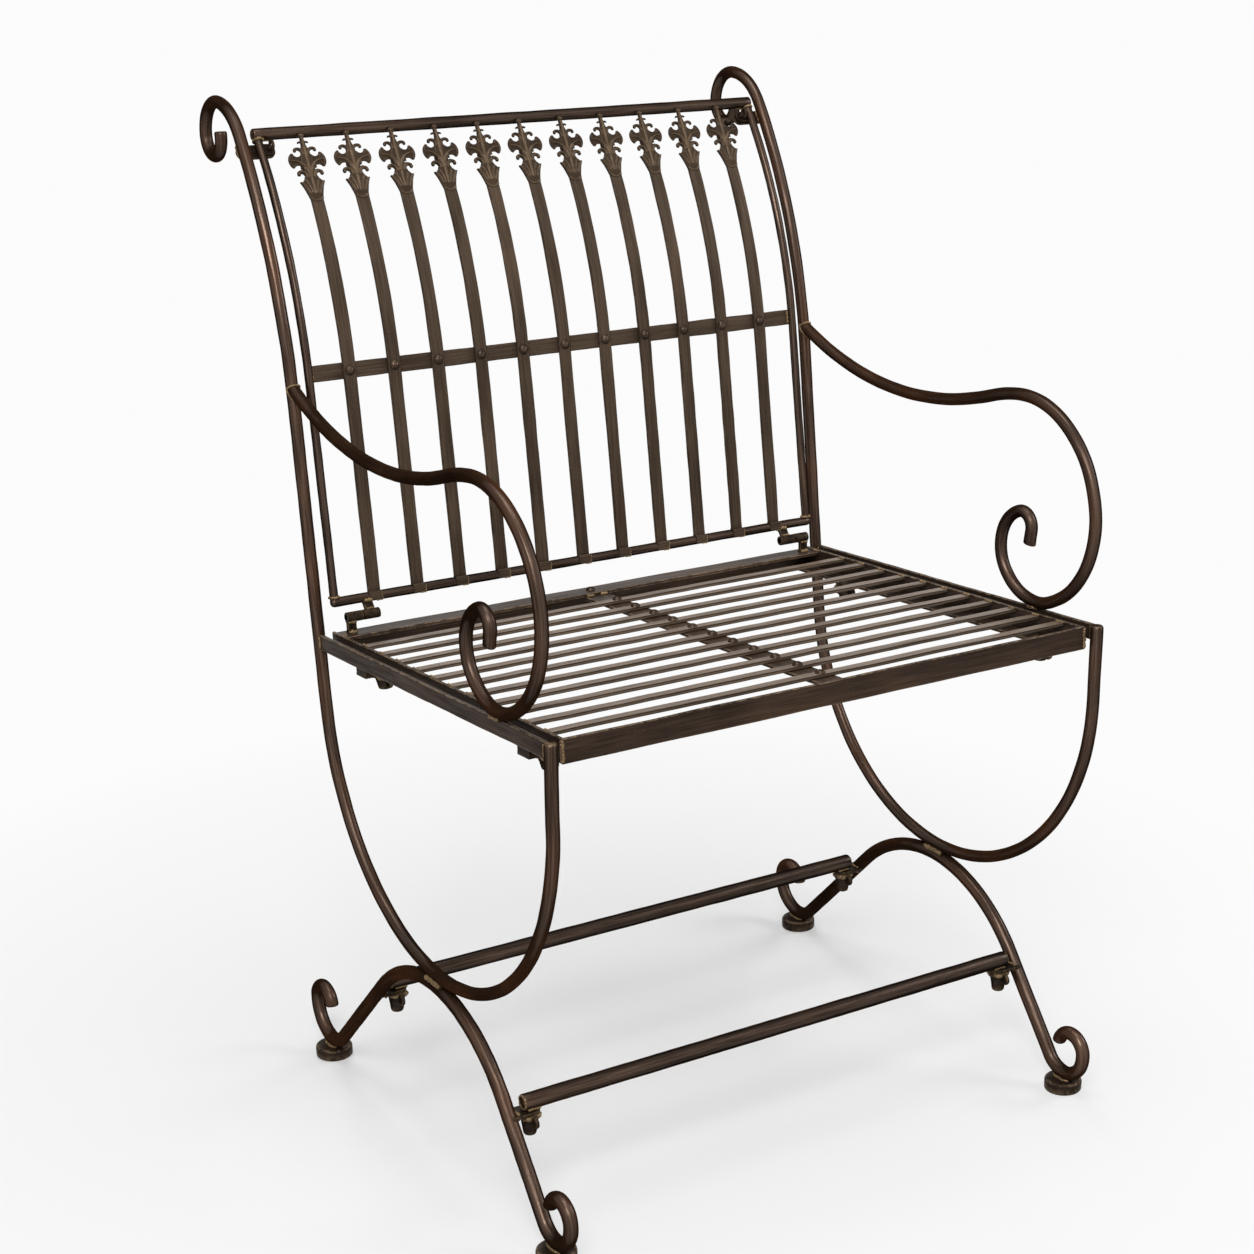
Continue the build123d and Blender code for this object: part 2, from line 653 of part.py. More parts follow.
# The origin moves to the floor under the middle of the depth
depth = Compound([post, leg]).bounding_box()
to_origin = Pos(0, -(depth.min.Y + depth.max.Y) / 2, 0)
os.makedirs("parts", exist_ok=True)
for name, pieces in nodes.items():
    solids = [solid for piece in pieces for solid in (to_origin * piece).solids()]
    export_step(solids[0] if len(solids) == 1 else Compound(solids), f"parts/{name}.step")
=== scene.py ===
from math import atan2, ceil, cos, degrees, pi, radians, sin, sqrt, tan

import bpy
import numpy as np
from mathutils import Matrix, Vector


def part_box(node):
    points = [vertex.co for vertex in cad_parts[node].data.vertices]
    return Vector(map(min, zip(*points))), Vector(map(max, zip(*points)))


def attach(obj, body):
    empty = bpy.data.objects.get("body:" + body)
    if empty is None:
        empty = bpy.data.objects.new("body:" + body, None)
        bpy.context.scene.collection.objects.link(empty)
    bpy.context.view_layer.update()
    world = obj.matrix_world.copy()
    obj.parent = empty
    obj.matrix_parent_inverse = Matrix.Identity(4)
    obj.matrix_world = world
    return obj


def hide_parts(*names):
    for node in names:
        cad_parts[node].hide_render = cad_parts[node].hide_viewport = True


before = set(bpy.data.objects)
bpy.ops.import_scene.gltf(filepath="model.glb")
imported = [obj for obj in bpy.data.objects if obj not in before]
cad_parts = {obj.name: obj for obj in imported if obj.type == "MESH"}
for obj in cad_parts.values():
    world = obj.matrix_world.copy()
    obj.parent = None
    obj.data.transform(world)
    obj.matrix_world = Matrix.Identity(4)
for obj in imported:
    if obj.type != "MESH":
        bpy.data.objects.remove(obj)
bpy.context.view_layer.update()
MM = 0.001

# Sizes of the chair in millimetres, as in the solids
frame_half_width = 265.0
bar_d = 11.0
leg_bar_d = 12.5
weld_sink = 0.5
u_radius = 205.0
post_lean = 6.5
post_straight = 259.0
post_bow_radius = 500.0
post_bow_turn = 27.5
scroll_crown_radius = 55.0
scroll_rear_radius = 30.0
scroll_end_radius = 17.0
scroll_end_turn = 185.0
scroll_tail = 4.0
leg_crest_z = 163.0
leg_crest_setback = 10.0
front_leg_radius = 152.0
front_leg_turn = 51.5
rear_leg_radius = 150.0
rear_leg_turn = 44.0
front_foot_radius = 25.0
rear_foot_radius = 31.0
foot_curl_radius = 16.5
foot_curl_turn = 170.0
foot_h = 11.0
seat_front_z = 447.0
seat_tilt = 3.5
rail_h = 14.0
rail_t = 3.5
rail_outset = 0.5
arm_setback = 83.0
arm_rest_radius = 52.0
arm_rest_front_turn = 20.0
arm_rest_rear_turn = 52.0
arm_front_radius = 86.0
arm_front_turn = 78.0
arm_nose_radius = 96.0
arm_nose_turn = 90.0
arm_shoulder_radius = 240.0
arm_shoulder_turn = 9.3
arm_dip_radius = 400.0
arm_stop = 1.2
arm_curl_radius = 36.0
arm_curl_turn = 108.0
arm_end_radius = 13.0
arm_end_turn = 120.0
arm_tail = 12.0
stretcher_d = 14.5
stretcher_half_length = 252.0
front_stretcher_run = 12.6
rear_stretcher_run = 22.0
stretcher_bolt_x = 246.0
lug_t = 3.0
lug_w = 18.0
wing_t = 2.4
wing_ear_r = 5.2
wing_reach = 10.0
wing_drop = 6.0
seat_half_width = 254.0
seat_front_gap = 3.0
seat_bar_h = 20.0
seat_bar_t = 3.0
slat_count = 11
seat_slat_w = 11.0
slat_t = 3.0
seat_pitch = 32.1
first_slat_y = 31.5
slat_drop = 1.0
rear_flange_w = 23.5
rear_rivet_inset = 12.0
seat_rear_y = 413.0
ledge_w = 17.0
strap_t = 3.0
seat_strap_w = 24.0
rod_x = 250.0
rod_d = 7.5
top_rail_d = 10.5
bottom_rail_d = 8.5
panel_straight = 200.0
panel_bow_radius = 440.0
panel_bow_turn = 28.8
bottom_rail_run = 12.5
back_strap_run = 210.0
back_strap_w = 14.0
back_slat_w = 12.0
back_pitch = 42.4
finial_drop = 62.2
hinge_rise = 13.0
hinge_inset = 10.5
hinge_lead = 8.0
hinge_x = 228.5
knuckle_l = 15.5
knuckle_gap = 0.6
hinge_lug_w = 9.0
hinge_lug_t = 4.0
tab_t = 3.0
corner_drop = 13.0
screw_inset = 9.0
ear_t = 2.5
ear_gap = 0.4


# Lines of the side view, in the plane of Y and Z with Y = 0 at the middle of the U bend
def solve(function, low, high):
    """Root of a rising function, by halving."""
    for _ in range(60):
        middle = (low + high) / 2
        if function(middle) < 0:
            low = middle
        else:
            high = middle
    return middle


def chain(start, heading, steps, pitch=3.5):
    """Points and headings of tangent stretches: (length,) is straight, (radius, turn) is an arc."""
    points = [np.array(start, float)]
    angles = [radians(heading)]
    for step in steps:
        point = points[-1]
        angle = angles[-1]
        if len(step) == 1:
            count = max(1, ceil(step[0] / (2 * pitch)))
            for t in np.linspace(0, step[0], count + 1)[1:]:
                points.append(point + t * np.array([cos(angle), sin(angle)]))
                angles.append(angle)
        else:
            radius = step[0]
            turn = radians(step[1])
            side = 1 if turn > 0 else -1
            count = max(2, ceil(max(radius * abs(turn) / pitch, abs(turn) / radians(4))))
            centre = point + side * radius * np.array([-sin(angle), cos(angle)])
            for t in np.linspace(0, turn, count + 1)[1:]:
                points.append(centre + side * radius * np.array([sin(angle + t), -cos(angle + t)]))
                angles.append(angle + t)
    return np.array(points), np.array(angles)


def two_way(origin, heading, back_steps, ahead_steps):
    """Points and headings through an origin: back_steps leave it against the heading."""
    points, angles = chain(origin, heading + 180, back_steps)
    turned = [step if len(step) == 1 else (step[0], -step[1]) for step in reversed(back_steps)]
    return chain(points[-1], degrees(angles[-1]) + 180, turned + ahead_steps)


def bent_point(start, lean, straight, radius, run):
    """Point and lean at a run along a straight stretch and the bow above it."""
    foot = np.array([sin(radians(lean)), cos(radians(lean))])
    if run <= straight:
        return start + foot * run, lean
    top = lean + degrees((run - straight) / radius)
    bend = np.array([cos(radians(lean)) - cos(radians(top)), sin(radians(top)) - sin(radians(lean))])
    return start + foot * straight + bend * radius, top


u_bottom_z = leg_crest_z + (bar_d + leg_bar_d) / 2 - weld_sink
u_centre_z = u_bottom_z + u_radius
lean_start = np.array([u_radius * cos(radians(post_lean)), u_centre_z - u_radius * sin(radians(post_lean))])
bow_start = bent_point(lean_start, post_lean, post_straight, post_bow_radius, post_straight)[0]


def post_y(z):
    """Middle of the post at a height on its straight stretch or its bow."""
    if z <= bow_start[1]:
        return lean_start[0] + (z - lean_start[1]) * tan(radians(post_lean))
    rise = sin(radians(post_lean)) + (z - bow_start[1]) / post_bow_radius
    return bow_start[0] + post_bow_radius * (cos(radians(post_lean)) - sqrt(1 - rise**2))


post_line = chain(
    (-u_radius, seat_front_z), -90,
    [
        (seat_front_z - u_centre_z,), (u_radius, 180 - post_lean), (post_straight,),
        (post_bow_radius, -post_bow_turn), (scroll_crown_radius, post_lean + post_bow_turn - 90),
        (scroll_rear_radius, -90), (scroll_end_radius, -scroll_end_turn), (scroll_tail,),
    ],
)
foot_bar_z = foot_h + leg_bar_d / 2 - weld_sink


def leg_straight(radius, turn, foot_radius):
    """Straight stretch between the crest bend and the foot bend."""
    bends = (radius + foot_radius) * (1 - cos(radians(turn)))
    return (leg_crest_z - foot_bar_z - bends) / sin(radians(turn))


def leg_point(radius, turn, run):
    """Distance from the crest and height at a run down the straight leg."""
    out = radius * sin(radians(turn)) + run * cos(radians(turn))
    down = radius * (1 - cos(radians(turn))) + run * sin(radians(turn))
    return out, leg_crest_z - down


def leg_steps(radius, turn, foot_radius, way):
    """Stretches from the crest to the tip of the curl, to the front or the rear."""
    return [
        (radius, -way * turn), (leg_straight(radius, turn, foot_radius),),
        (foot_radius, way * (90 + turn)), (foot_curl_radius, way * foot_curl_turn),
    ]


front_leg = (front_leg_radius, front_leg_turn, front_foot_radius)
rear_leg = (rear_leg_radius, rear_leg_turn, rear_foot_radius)
leg_line = two_way((leg_crest_setback, leg_crest_z), 0, leg_steps(*front_leg, -1), leg_steps(*rear_leg, 1))
foot_ys = []
stretchers = {}
for name, (radius, turn, foot_radius), run, way in (
    ("front_stretcher", front_leg, front_stretcher_run, -1),
    ("rear_stretcher", rear_leg, rear_stretcher_run, 1),
):
    straight = leg_straight(radius, turn, foot_radius)
    foot_out = leg_point(radius, turn, straight)[0] + foot_radius * sin(radians(turn))
    foot_ys.append(leg_crest_setback + way * foot_out)
    out, leg_z = leg_point(radius, turn, run)
    stretchers[name] = (leg_crest_setback + way * out, leg_z)


def seat_z(y):
    """Height of the seat plane at a Y of the side view."""
    return seat_front_z - (y + u_radius) * tan(radians(seat_tilt))


rail_rear_y = solve(lambda y: y - post_y(seat_z(y) - rail_h / 2), 0, 2 * u_radius)
rail_length = (rail_rear_y + u_radius) / cos(radians(seat_tilt))
arm_rest = (-u_radius + arm_setback, seat_z(-u_radius + arm_setback) + bar_d / 2 - weld_sink)
arm_nose = [
    (arm_rest_radius, -arm_rest_front_turn), (arm_front_radius, -arm_front_turn),
    (arm_nose_radius, -arm_nose_turn), (arm_shoulder_radius, -arm_shoulder_turn),
]
arm_curl = [
    (arm_rest_radius, arm_rest_rear_turn), (arm_curl_radius, arm_curl_turn),
    (arm_end_radius, arm_end_turn), (arm_tail,),
]


def arm_past_post(turn):
    """How far a dip of a given turn ends behind its stop at the post."""
    end = chain(arm_rest, 180, arm_nose + [(arm_dip_radius, turn)])[0][-1]
    return end[0] - post_y(end[1]) + arm_stop


arm_dip_turn = solve(arm_past_post, 20, 70)
arm_line = two_way(arm_rest, 180, arm_curl, arm_nose + [(arm_dip_radius, arm_dip_turn)])


# Places: 4 by 4 matrices in millimetres
def place(x=0.0, y=0.0, z=0.0, tilt=0.0):
    """Move after a turn about X in degrees."""
    c = cos(radians(tilt))
    s = sin(radians(tilt))
    return np.array([[1, 0, 0, x], [0, c, -s, y], [0, s, c, z], [0, 0, 0, 1]], float)


def moved(matrix, points):
    """Points put through a place."""
    points = np.asarray(points, float)
    return points @ matrix[:3, :3].T + matrix[:3, 3]


ALONG_X = np.array([[0, 0, 1, 0], [1, 0, 0, 0], [0, 1, 0, 0], [0, 0, 0, 1]], float)
seat_place = place(0, -u_radius, seat_front_z, -seat_tilt)
hinge_place = seat_place @ place(0, seat_rear_y - hinge_inset, hinge_rise)
hinge = hinge_place[1:3, 3]
panel_foot = hinge + np.array([hinge_lead, 0])
panel_run = panel_straight + panel_bow_radius * radians(panel_bow_turn)
finial_run = panel_run - finial_drop


def top_past_post(lean):
    """How far the top rail lies behind the posts for a lean of the panel."""
    top = bent_point(panel_foot, lean, panel_straight, panel_bow_radius, panel_run)[0]
    return top[0] - post_y(top[1])


panel_lean = solve(top_past_post, 0, 20)


def panel_point(run):
    """Point and lean of the panel curve at a run."""
    return bent_point(panel_foot, panel_lean, panel_straight, panel_bow_radius, run)


def panel_place(run):
    """Place on the panel curve: X to the right, Y up along the curve, Z to the front."""
    point, lean = panel_point(run)
    return place(0, point[0], point[1], 90 - lean)


low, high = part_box("front_stretcher")
origin_y = (low[1] + high[1]) / 2 / MM - stretchers["front_stretcher"][0]


# Skins: each is (points, faces, grain, edge). Grain is the place in the straightened bar, edge the weight of
# the paint's edge colour: rubbed paint on most bars, painted shade on the slats.
def loft(rings, grain, edge):
    """Skin through rings of points with a flat cap at each end."""
    rows, count = rings.shape[:2]
    start = np.arange(rows - 1)[:, None] * count
    here = np.arange(count)
    there = (here + 1) % count
    quads = np.stack([start + here, start + there, start + count + there, start + count + here], -1)
    points = rings.reshape(-1, 3)
    middle = points.mean(0)
    sides = quads.reshape(-1, 4)
    a, b, c, d = (points[sides[:, i]] - middle for i in range(4))
    volume = (np.einsum("ij,ij->i", a, np.cross(b, c)) + np.einsum("ij,ij->i", a, np.cross(c, d))).sum()
    caps = [list(range(count))[::-1], list(range((rows - 1) * count, rows * count))]
    faces = sides.tolist() + caps
    if volume < 0:
        faces = [face[::-1] for face in faces]
    return points, faces, grain.reshape(-1, 3), edge.reshape(-1)


def apart(seed):
    """Start of a piece's own stretch of the paint's pattern."""
    return 977 * seed % 5000


def ripple(seed, size, shortest, longest):
    """Smooth random wave of a length and an angle."""
    rng = np.random.default_rng(seed)
    terms = []
    for _ in range(6):
        wave = 2 * pi / rng.uniform(shortest, longest)
        terms.append((wave, rng.integers(0, 4), rng.uniform(0, 2 * pi), rng.uniform(0.4, 1.0)))
    scale = size / sqrt(sum(term[3] ** 2 for term in terms) / 2)

    def value(run, angle):
        return scale * sum(k * np.sin(wave * run + m * angle + p) for wave, m, p, k in terms)

    return value


def runs_of(centres):
    """Length along a line of points."""
    return np.concatenate([[0], np.cumsum(np.linalg.norm(np.diff(centres, axis=0), axis=1))])


def round_ends(centres, axes, bevels):
    """Line with extra rows at its ends, and how far each row is inset there."""
    parts = [centres, *axes, np.zeros(len(centres))]
    angle = np.radians([0, 30, 60, 90])
    for bevel in bevels:
        line = parts[0]
        if bevel > 0:
            step = (line[1] - line[0]) / np.linalg.norm(line[1] - line[0])
            rows = [line[0] + bevel * (1 - np.cos(angle))[:, None] * step]
            rows += [np.repeat(axis[:1], 4, 0) for axis in parts[1:-1]]
            rows.append(bevel * (1 - np.sin(angle)))
            keep = runs_of(line) > 1.3 * bevel
            parts = [np.concatenate([row, part[keep]]) for row, part in zip(rows, parts)]
        parts = [part[::-1] for part in parts]
    return parts[0], parts[1:-1], parts[-1]


def round_bar(centres, across, up, diameter, seed, bevels=(1.2, 1.2), sides=24, lumps=0.07, flare=0.0):
    """Round bar along a line; across and up span its section, and its first end may flare across."""
    centres, (across, up), insets = round_ends(centres, [across, up], bevels)
    run = runs_of(centres)[:, None]
    angle = np.linspace(0, 2 * pi, sides, endpoint=False)[None]
    radius = diameter / 2 - insets[:, None] + ripple(seed, lumps, 14, 120)(run, angle)
    spread = flare * np.clip(1 - run / 11, 0, 1) ** 1.5
    u = radius * np.cos(angle) * (1 + spread)
    v = radius * np.sin(angle) * (1 - 0.6 * spread)
    rings = centres[:, None] + u[..., None] * across[:, None] + v[..., None] * up[:, None]
    grain = np.stack([np.broadcast_to(run + apart(seed), u.shape), u, v], -1)
    edge = np.broadcast_to(np.clip(insets * 1.5, 0, 1)[:, None], u.shape)
    return loft(rings, grain, edge)


def side_bar(line, x, diameter, seed, bevels=(1.2, 1.2), sides=24, flare=0.0):
    """Round bar along a line of the side view."""
    points, angles = line
    count = len(points)
    centres = np.column_stack([np.full(count, x), points])
    across = np.column_stack([np.zeros(count), -np.sin(angles), np.cos(angles)])
    up = np.repeat([[1.0, 0, 0]], count, 0)
    return round_bar(centres, across, up, diameter, seed, bevels, sides, flare=flare)


def cross_bar(half_length, diameter, point, seed, bevels=(1.0, 1.0), sides=24):
    """Round bar along X through a point of the side view."""
    x = np.linspace(-half_length, half_length, max(3, int(half_length / 4)))
    centres = np.column_stack([x, np.full(len(x), point[0]), np.full(len(x), point[1])])
    across = np.repeat([[0.0, 1, 0]], len(x), 0)
    up = np.repeat([[0.0, 0, 1]], len(x), 0)
    return round_bar(centres, across, up, diameter, seed, bevels, sides)


def section(half_width, half_height, corner):
    """Rounded rectangle with a support point beside each end of its corners, and the weight of the edge
    colour at each point: rubbed paint, and painted shade on the slats.
    """
    points = []
    rub_and_edge_shade = []
    for turn, (sx, sy) in enumerate(((1, 1), (-1, 1), (-1, -1), (1, -1))):
        arc = np.radians(90 * turn + np.array([0, 22.5, 45, 67.5, 90]))
        middle = np.array([sx * (half_width - corner), sy * (half_height - corner)])
        rim = middle + corner * np.column_stack([np.cos(arc), np.sin(arc)])
        before = rim[0] + 0.35 * corner * np.array([sin(arc[0]), -cos(arc[0])])
        after = rim[-1] + 0.35 * corner * np.array([-sin(arc[-1]), cos(arc[-1])])
        points += [before, *rim, after]
        rub_and_edge_shade += [0.25, 0.7, 1.0, 1.0, 1.0, 0.7, 0.25]
    return np.array(points), np.array(rub_and_edge_shade)


def flat_bar(centres, wide, thick, width, thickness, seed, corner=0.7, bevel=0.7, lumps=0.10):
    """Flat bar along a line; wide and thick are the directions of its section."""
    centres, (wide, thick), insets = round_ends(centres, [wide, thick], (bevel, bevel))
    run = runs_of(centres)
    wave_wide = ripple(seed, lumps, 25, 200)(run, 0)
    wave_thick = ripple(seed + 1, lumps, 30, 240)(run, 0)
    rings = []
    grain = []
    edges = []
    for i, centre in enumerate(centres):
        inset = insets[i]
        points, rub_and_edge_shade = section(
            width / 2 - inset + wave_wide[i], thickness / 2 - inset, max(corner - inset, 0.15)
        )
        rings.append(centre + points[:, :1] * wide[i] + (points[:, 1:] + wave_thick[i]) * thick[i])
        grain.append(np.column_stack([np.full(len(points), run[i] + apart(seed)), points]))
        edges.append(np.maximum(rub_and_edge_shade, min(1, 1.6 * inset)))
    return loft(np.array(rings), np.array(grain), np.array(edges))


def straight_bar(matrix, start, end, wide, width, thickness, seed, pitch=9.0, **more):
    """Flat bar between two points of a place, its width along an axis of it."""
    start = np.array(start, float)
    length = np.array(end, float) - start
    thick = np.abs(np.cross(length, wide)) / np.linalg.norm(length)
    count = max(3, int(np.linalg.norm(length) / pitch) + 1)
    centres = moved(matrix, start + np.linspace(0, 1, count)[:, None] * length)
    wide, thick = (np.repeat([matrix[:3, :3] @ np.array(axis, float)], count, 0) for axis in (wide, thick))
    return flat_bar(centres, wide, thick, width, thickness, seed, **more)


def put_down(local, edge, matrix, seed):
    """Skin of rings that are given in a place."""
    return loft(moved(matrix, local), local + np.array([apart(seed), 0, 0]), edge)


def lathe(profile, matrix, seed, sides=28, lumps=0.0, rub_and_edge_shade=None):
    """Turned piece about Z of a place, from (radius, height) points."""
    profile = np.array(profile, float)
    angle = np.linspace(0, 2 * pi, sides, endpoint=False)
    radius = np.maximum(profile[:, :1], 0.02) * np.ones_like(angle)
    height = profile[:, 1:] * np.ones_like(angle)
    if lumps:
        radius = radius * (1 + ripple(seed, lumps, 3, 12)(height, angle))
    local = np.stack([radius * np.cos(angle), radius * np.sin(angle), height], -1)
    if rub_and_edge_shade is None:
        rub_and_edge_shade = np.zeros(len(profile))
    return put_down(local, np.array(rub_and_edge_shade, float)[:, None] * np.ones_like(angle), matrix, seed)


def plate(outline, thickness, matrix, seed, corner=0.6):
    """Flat plate of a round outline, bevelled all round, with its middle at Z = 0 of a place."""
    outline = np.array(outline, float)
    ahead = np.roll(outline, -1, 0) - np.roll(outline, 1, 0)
    area = np.sum(outline[:, 0] * np.roll(outline[:, 1], -1) - outline[:, 1] * np.roll(outline[:, 0], -1))
    normal = np.column_stack([ahead[:, 1], -ahead[:, 0]]) / np.linalg.norm(ahead, axis=1)[:, None]
    normal *= 1 if area > 0 else -1
    half = thickness / 2
    rows = [(2.2 * corner, -half, 0), (corner, -half, 0.5), (0.3 * corner, -half + 0.3 * corner, 1)]
    rows += [(0, -half + corner, 0.6), (0, half - corner, 0.6)]
    rows += [(0.3 * corner, half - 0.3 * corner, 1), (corner, half, 0.5), (2.2 * corner, half, 0)]
    rings = []
    edge = []
    for inset, z, rub_and_edge_shade in rows:
        flat = outline - inset * normal
        rings.append(np.column_stack([flat, np.full(len(flat), z)]))
        edge.append(np.full(len(flat), float(rub_and_edge_shade)))
    return put_down(np.array(rings), np.array(edge), matrix, seed)


def round_end(x, radius, start, count=14):
    """Half circle in the plane of a plate."""
    angle = np.radians(np.linspace(start, start + 180, count))
    return np.column_stack([x + radius * np.cos(angle), radius * np.sin(angle)])


def tongue(start, end, half_width):
    """Outline of a strip along X with a round end at its start."""
    side = np.linspace(start, end, 5)[1:]
    lower = np.column_stack([side, np.full(4, -half_width)])
    rim = np.linspace(-half_width, half_width, 5)[1:-1]
    back = np.column_stack([np.full(3, end), rim])
    upper = lower[::-1] * np.array([1, -1])
    return np.concatenate([round_end(start, half_width, 90, 12), lower, back, upper])


def bead(points, radius, seed, sides=10):
    """Lumpy weld bead along a line of points."""
    points = np.array(points, float)
    run = runs_of(points)
    count = max(6, int(run[-1] / (0.45 * radius)) + 1)
    along = np.linspace(0, run[-1], count)
    centres = np.column_stack([np.interp(along, run, points[:, i]) for i in range(3)])
    rng = np.random.default_rng(seed)
    centres[1:-1] += rng.normal(0, 0.10 * radius, (count - 2, 3))
    axis = np.gradient(centres, axis=0)
    axis /= np.linalg.norm(axis, axis=1)[:, None]
    guide = np.array([0.31, 0.52, 0.79])
    across = np.cross(axis, guide)
    across /= np.linalg.norm(across, axis=1)[:, None]
    up = np.cross(axis, across)
    tip = np.minimum(along, run[-1] - along) / radius
    taper = np.sqrt(np.clip(1 - (1 - np.clip(tip, 0, 1)) ** 2, 0.02, 1))
    ridge = 0.86 + 0.22 * np.abs(np.sin(pi * along / (1.5 * radius) + rng.uniform(0, pi)))
    angle = np.linspace(0, 2 * pi, sides, endpoint=False)
    lump = 1 + ripple(seed, 0.10, 2 * radius, 7 * radius)(along[:, None], angle[None])
    size = radius * taper[:, None] * ridge[:, None] * lump
    rings = centres[:, None] + size[..., None] * (
        np.cos(angle)[None, :, None] * across[:, None] + np.sin(angle)[None, :, None] * up[:, None]
    )
    grain = rings + apart(seed)
    edge = np.broadcast_to((ridge * taper)[:, None] * 0.8, size.shape)
    return loft(rings, grain, edge)


def ring_weld(beads, matrix, radius, start, end, count, size, seed):
    """Bead round Z of a place."""
    angle = np.radians(np.linspace(start, end, count))
    line = np.column_stack([radius * np.cos(angle), radius * np.sin(angle), np.zeros(count)])
    beads.append(bead(moved(matrix, line), size, seed))


def weld(beads, matrix, point, axis, offsets, size, seed):
    """Bead through offsets along an axis from a point of a place."""
    line = np.array(point, float) + np.array(offsets, float)[:, None] * np.array(axis)
    beads.append(bead(moved(matrix, line), size, seed))


# Materials
class Net:
    """Node tree of a material or a world."""

    def __init__(self, owner):
        owner.use_nodes = True
        self.tree = owner.node_tree
        self.tree.nodes.clear()

    def add(self, kind, inputs=(), **settings):
        """Node with its settings; an input takes a value or another node's output."""
        node = self.tree.nodes.new(kind)
        for key, value in settings.items():
            setattr(node, key, value)
        for key, value in dict(inputs).items():
            if isinstance(value, bpy.types.NodeSocket):
                self.tree.links.new(value, node.inputs[key])
            else:
                node.inputs[key].default_value = value
        return node

    def math(self, operation, a, b, clamp=False):
        return self.add("ShaderNodeMath", {0: a, 1: b}, operation=operation, use_clamp=clamp).outputs[0]

    def plus(self, a, b):
        return self.math("ADD", a, b)

    def times(self, a, b):
        return self.math("MULTIPLY", a, b)

    def noise(self, vector, scale, detail, rough):
        inputs = {"Vector": vector, "Scale": scale, "Detail": detail, "Roughness": rough}
        return self.add("ShaderNodeTexNoise", inputs).outputs["Fac"]

    def ramp(self, value, *stops):
        node = self.add("ShaderNodeValToRGB", {"Fac": value})
        items = node.color_ramp.elements
        while len(items) < len(stops):
            items.new(0.5)
        for item, (position, colour) in zip(items, stops):
            item.position = position
            item.color = (*colour, 1.0)
        return node.outputs["Color"]

    def span(self, value, low, high, to_low=0.0, to_high=1.0):
        inputs = {"Value": value, "From Min": low, "From Max": high, "To Min": to_low, "To Max": to_high}
        return self.add("ShaderNodeMapRange", inputs).outputs["Result"]

    def mix(self, fac, a, b, blend="MIX"):
        a, b = ((*colour, 1.0) if isinstance(colour, tuple) else colour for colour in (a, b))
        return self.add("ShaderNodeMix", {0: fac, 6: a, 7: b}, data_type="RGBA", blend_type=blend).outputs[2]

    def scaled(self, vector, scale):
        return self.add("ShaderNodeMapping", {"Vector": vector, "Scale": scale}).outputs[0]

    def shown_rays(self):
        """1 for the rays of the camera, of gloss and of glass, which see white surroundings."""
        path = self.add("ShaderNodeLightPath").outputs
        rays = self.math("MAXIMUM", path["Is Camera Ray"], path["Is Glossy Ray"])
        return self.math("MAXIMUM", rays, path["Is Transmission Ray"])


GOLD = (0.300, 0.205, 0.105)
RUBBED = (0.230, 0.160, 0.100)
GLOSS_TINT = (1.0, 0.69, 0.53, 1.0)


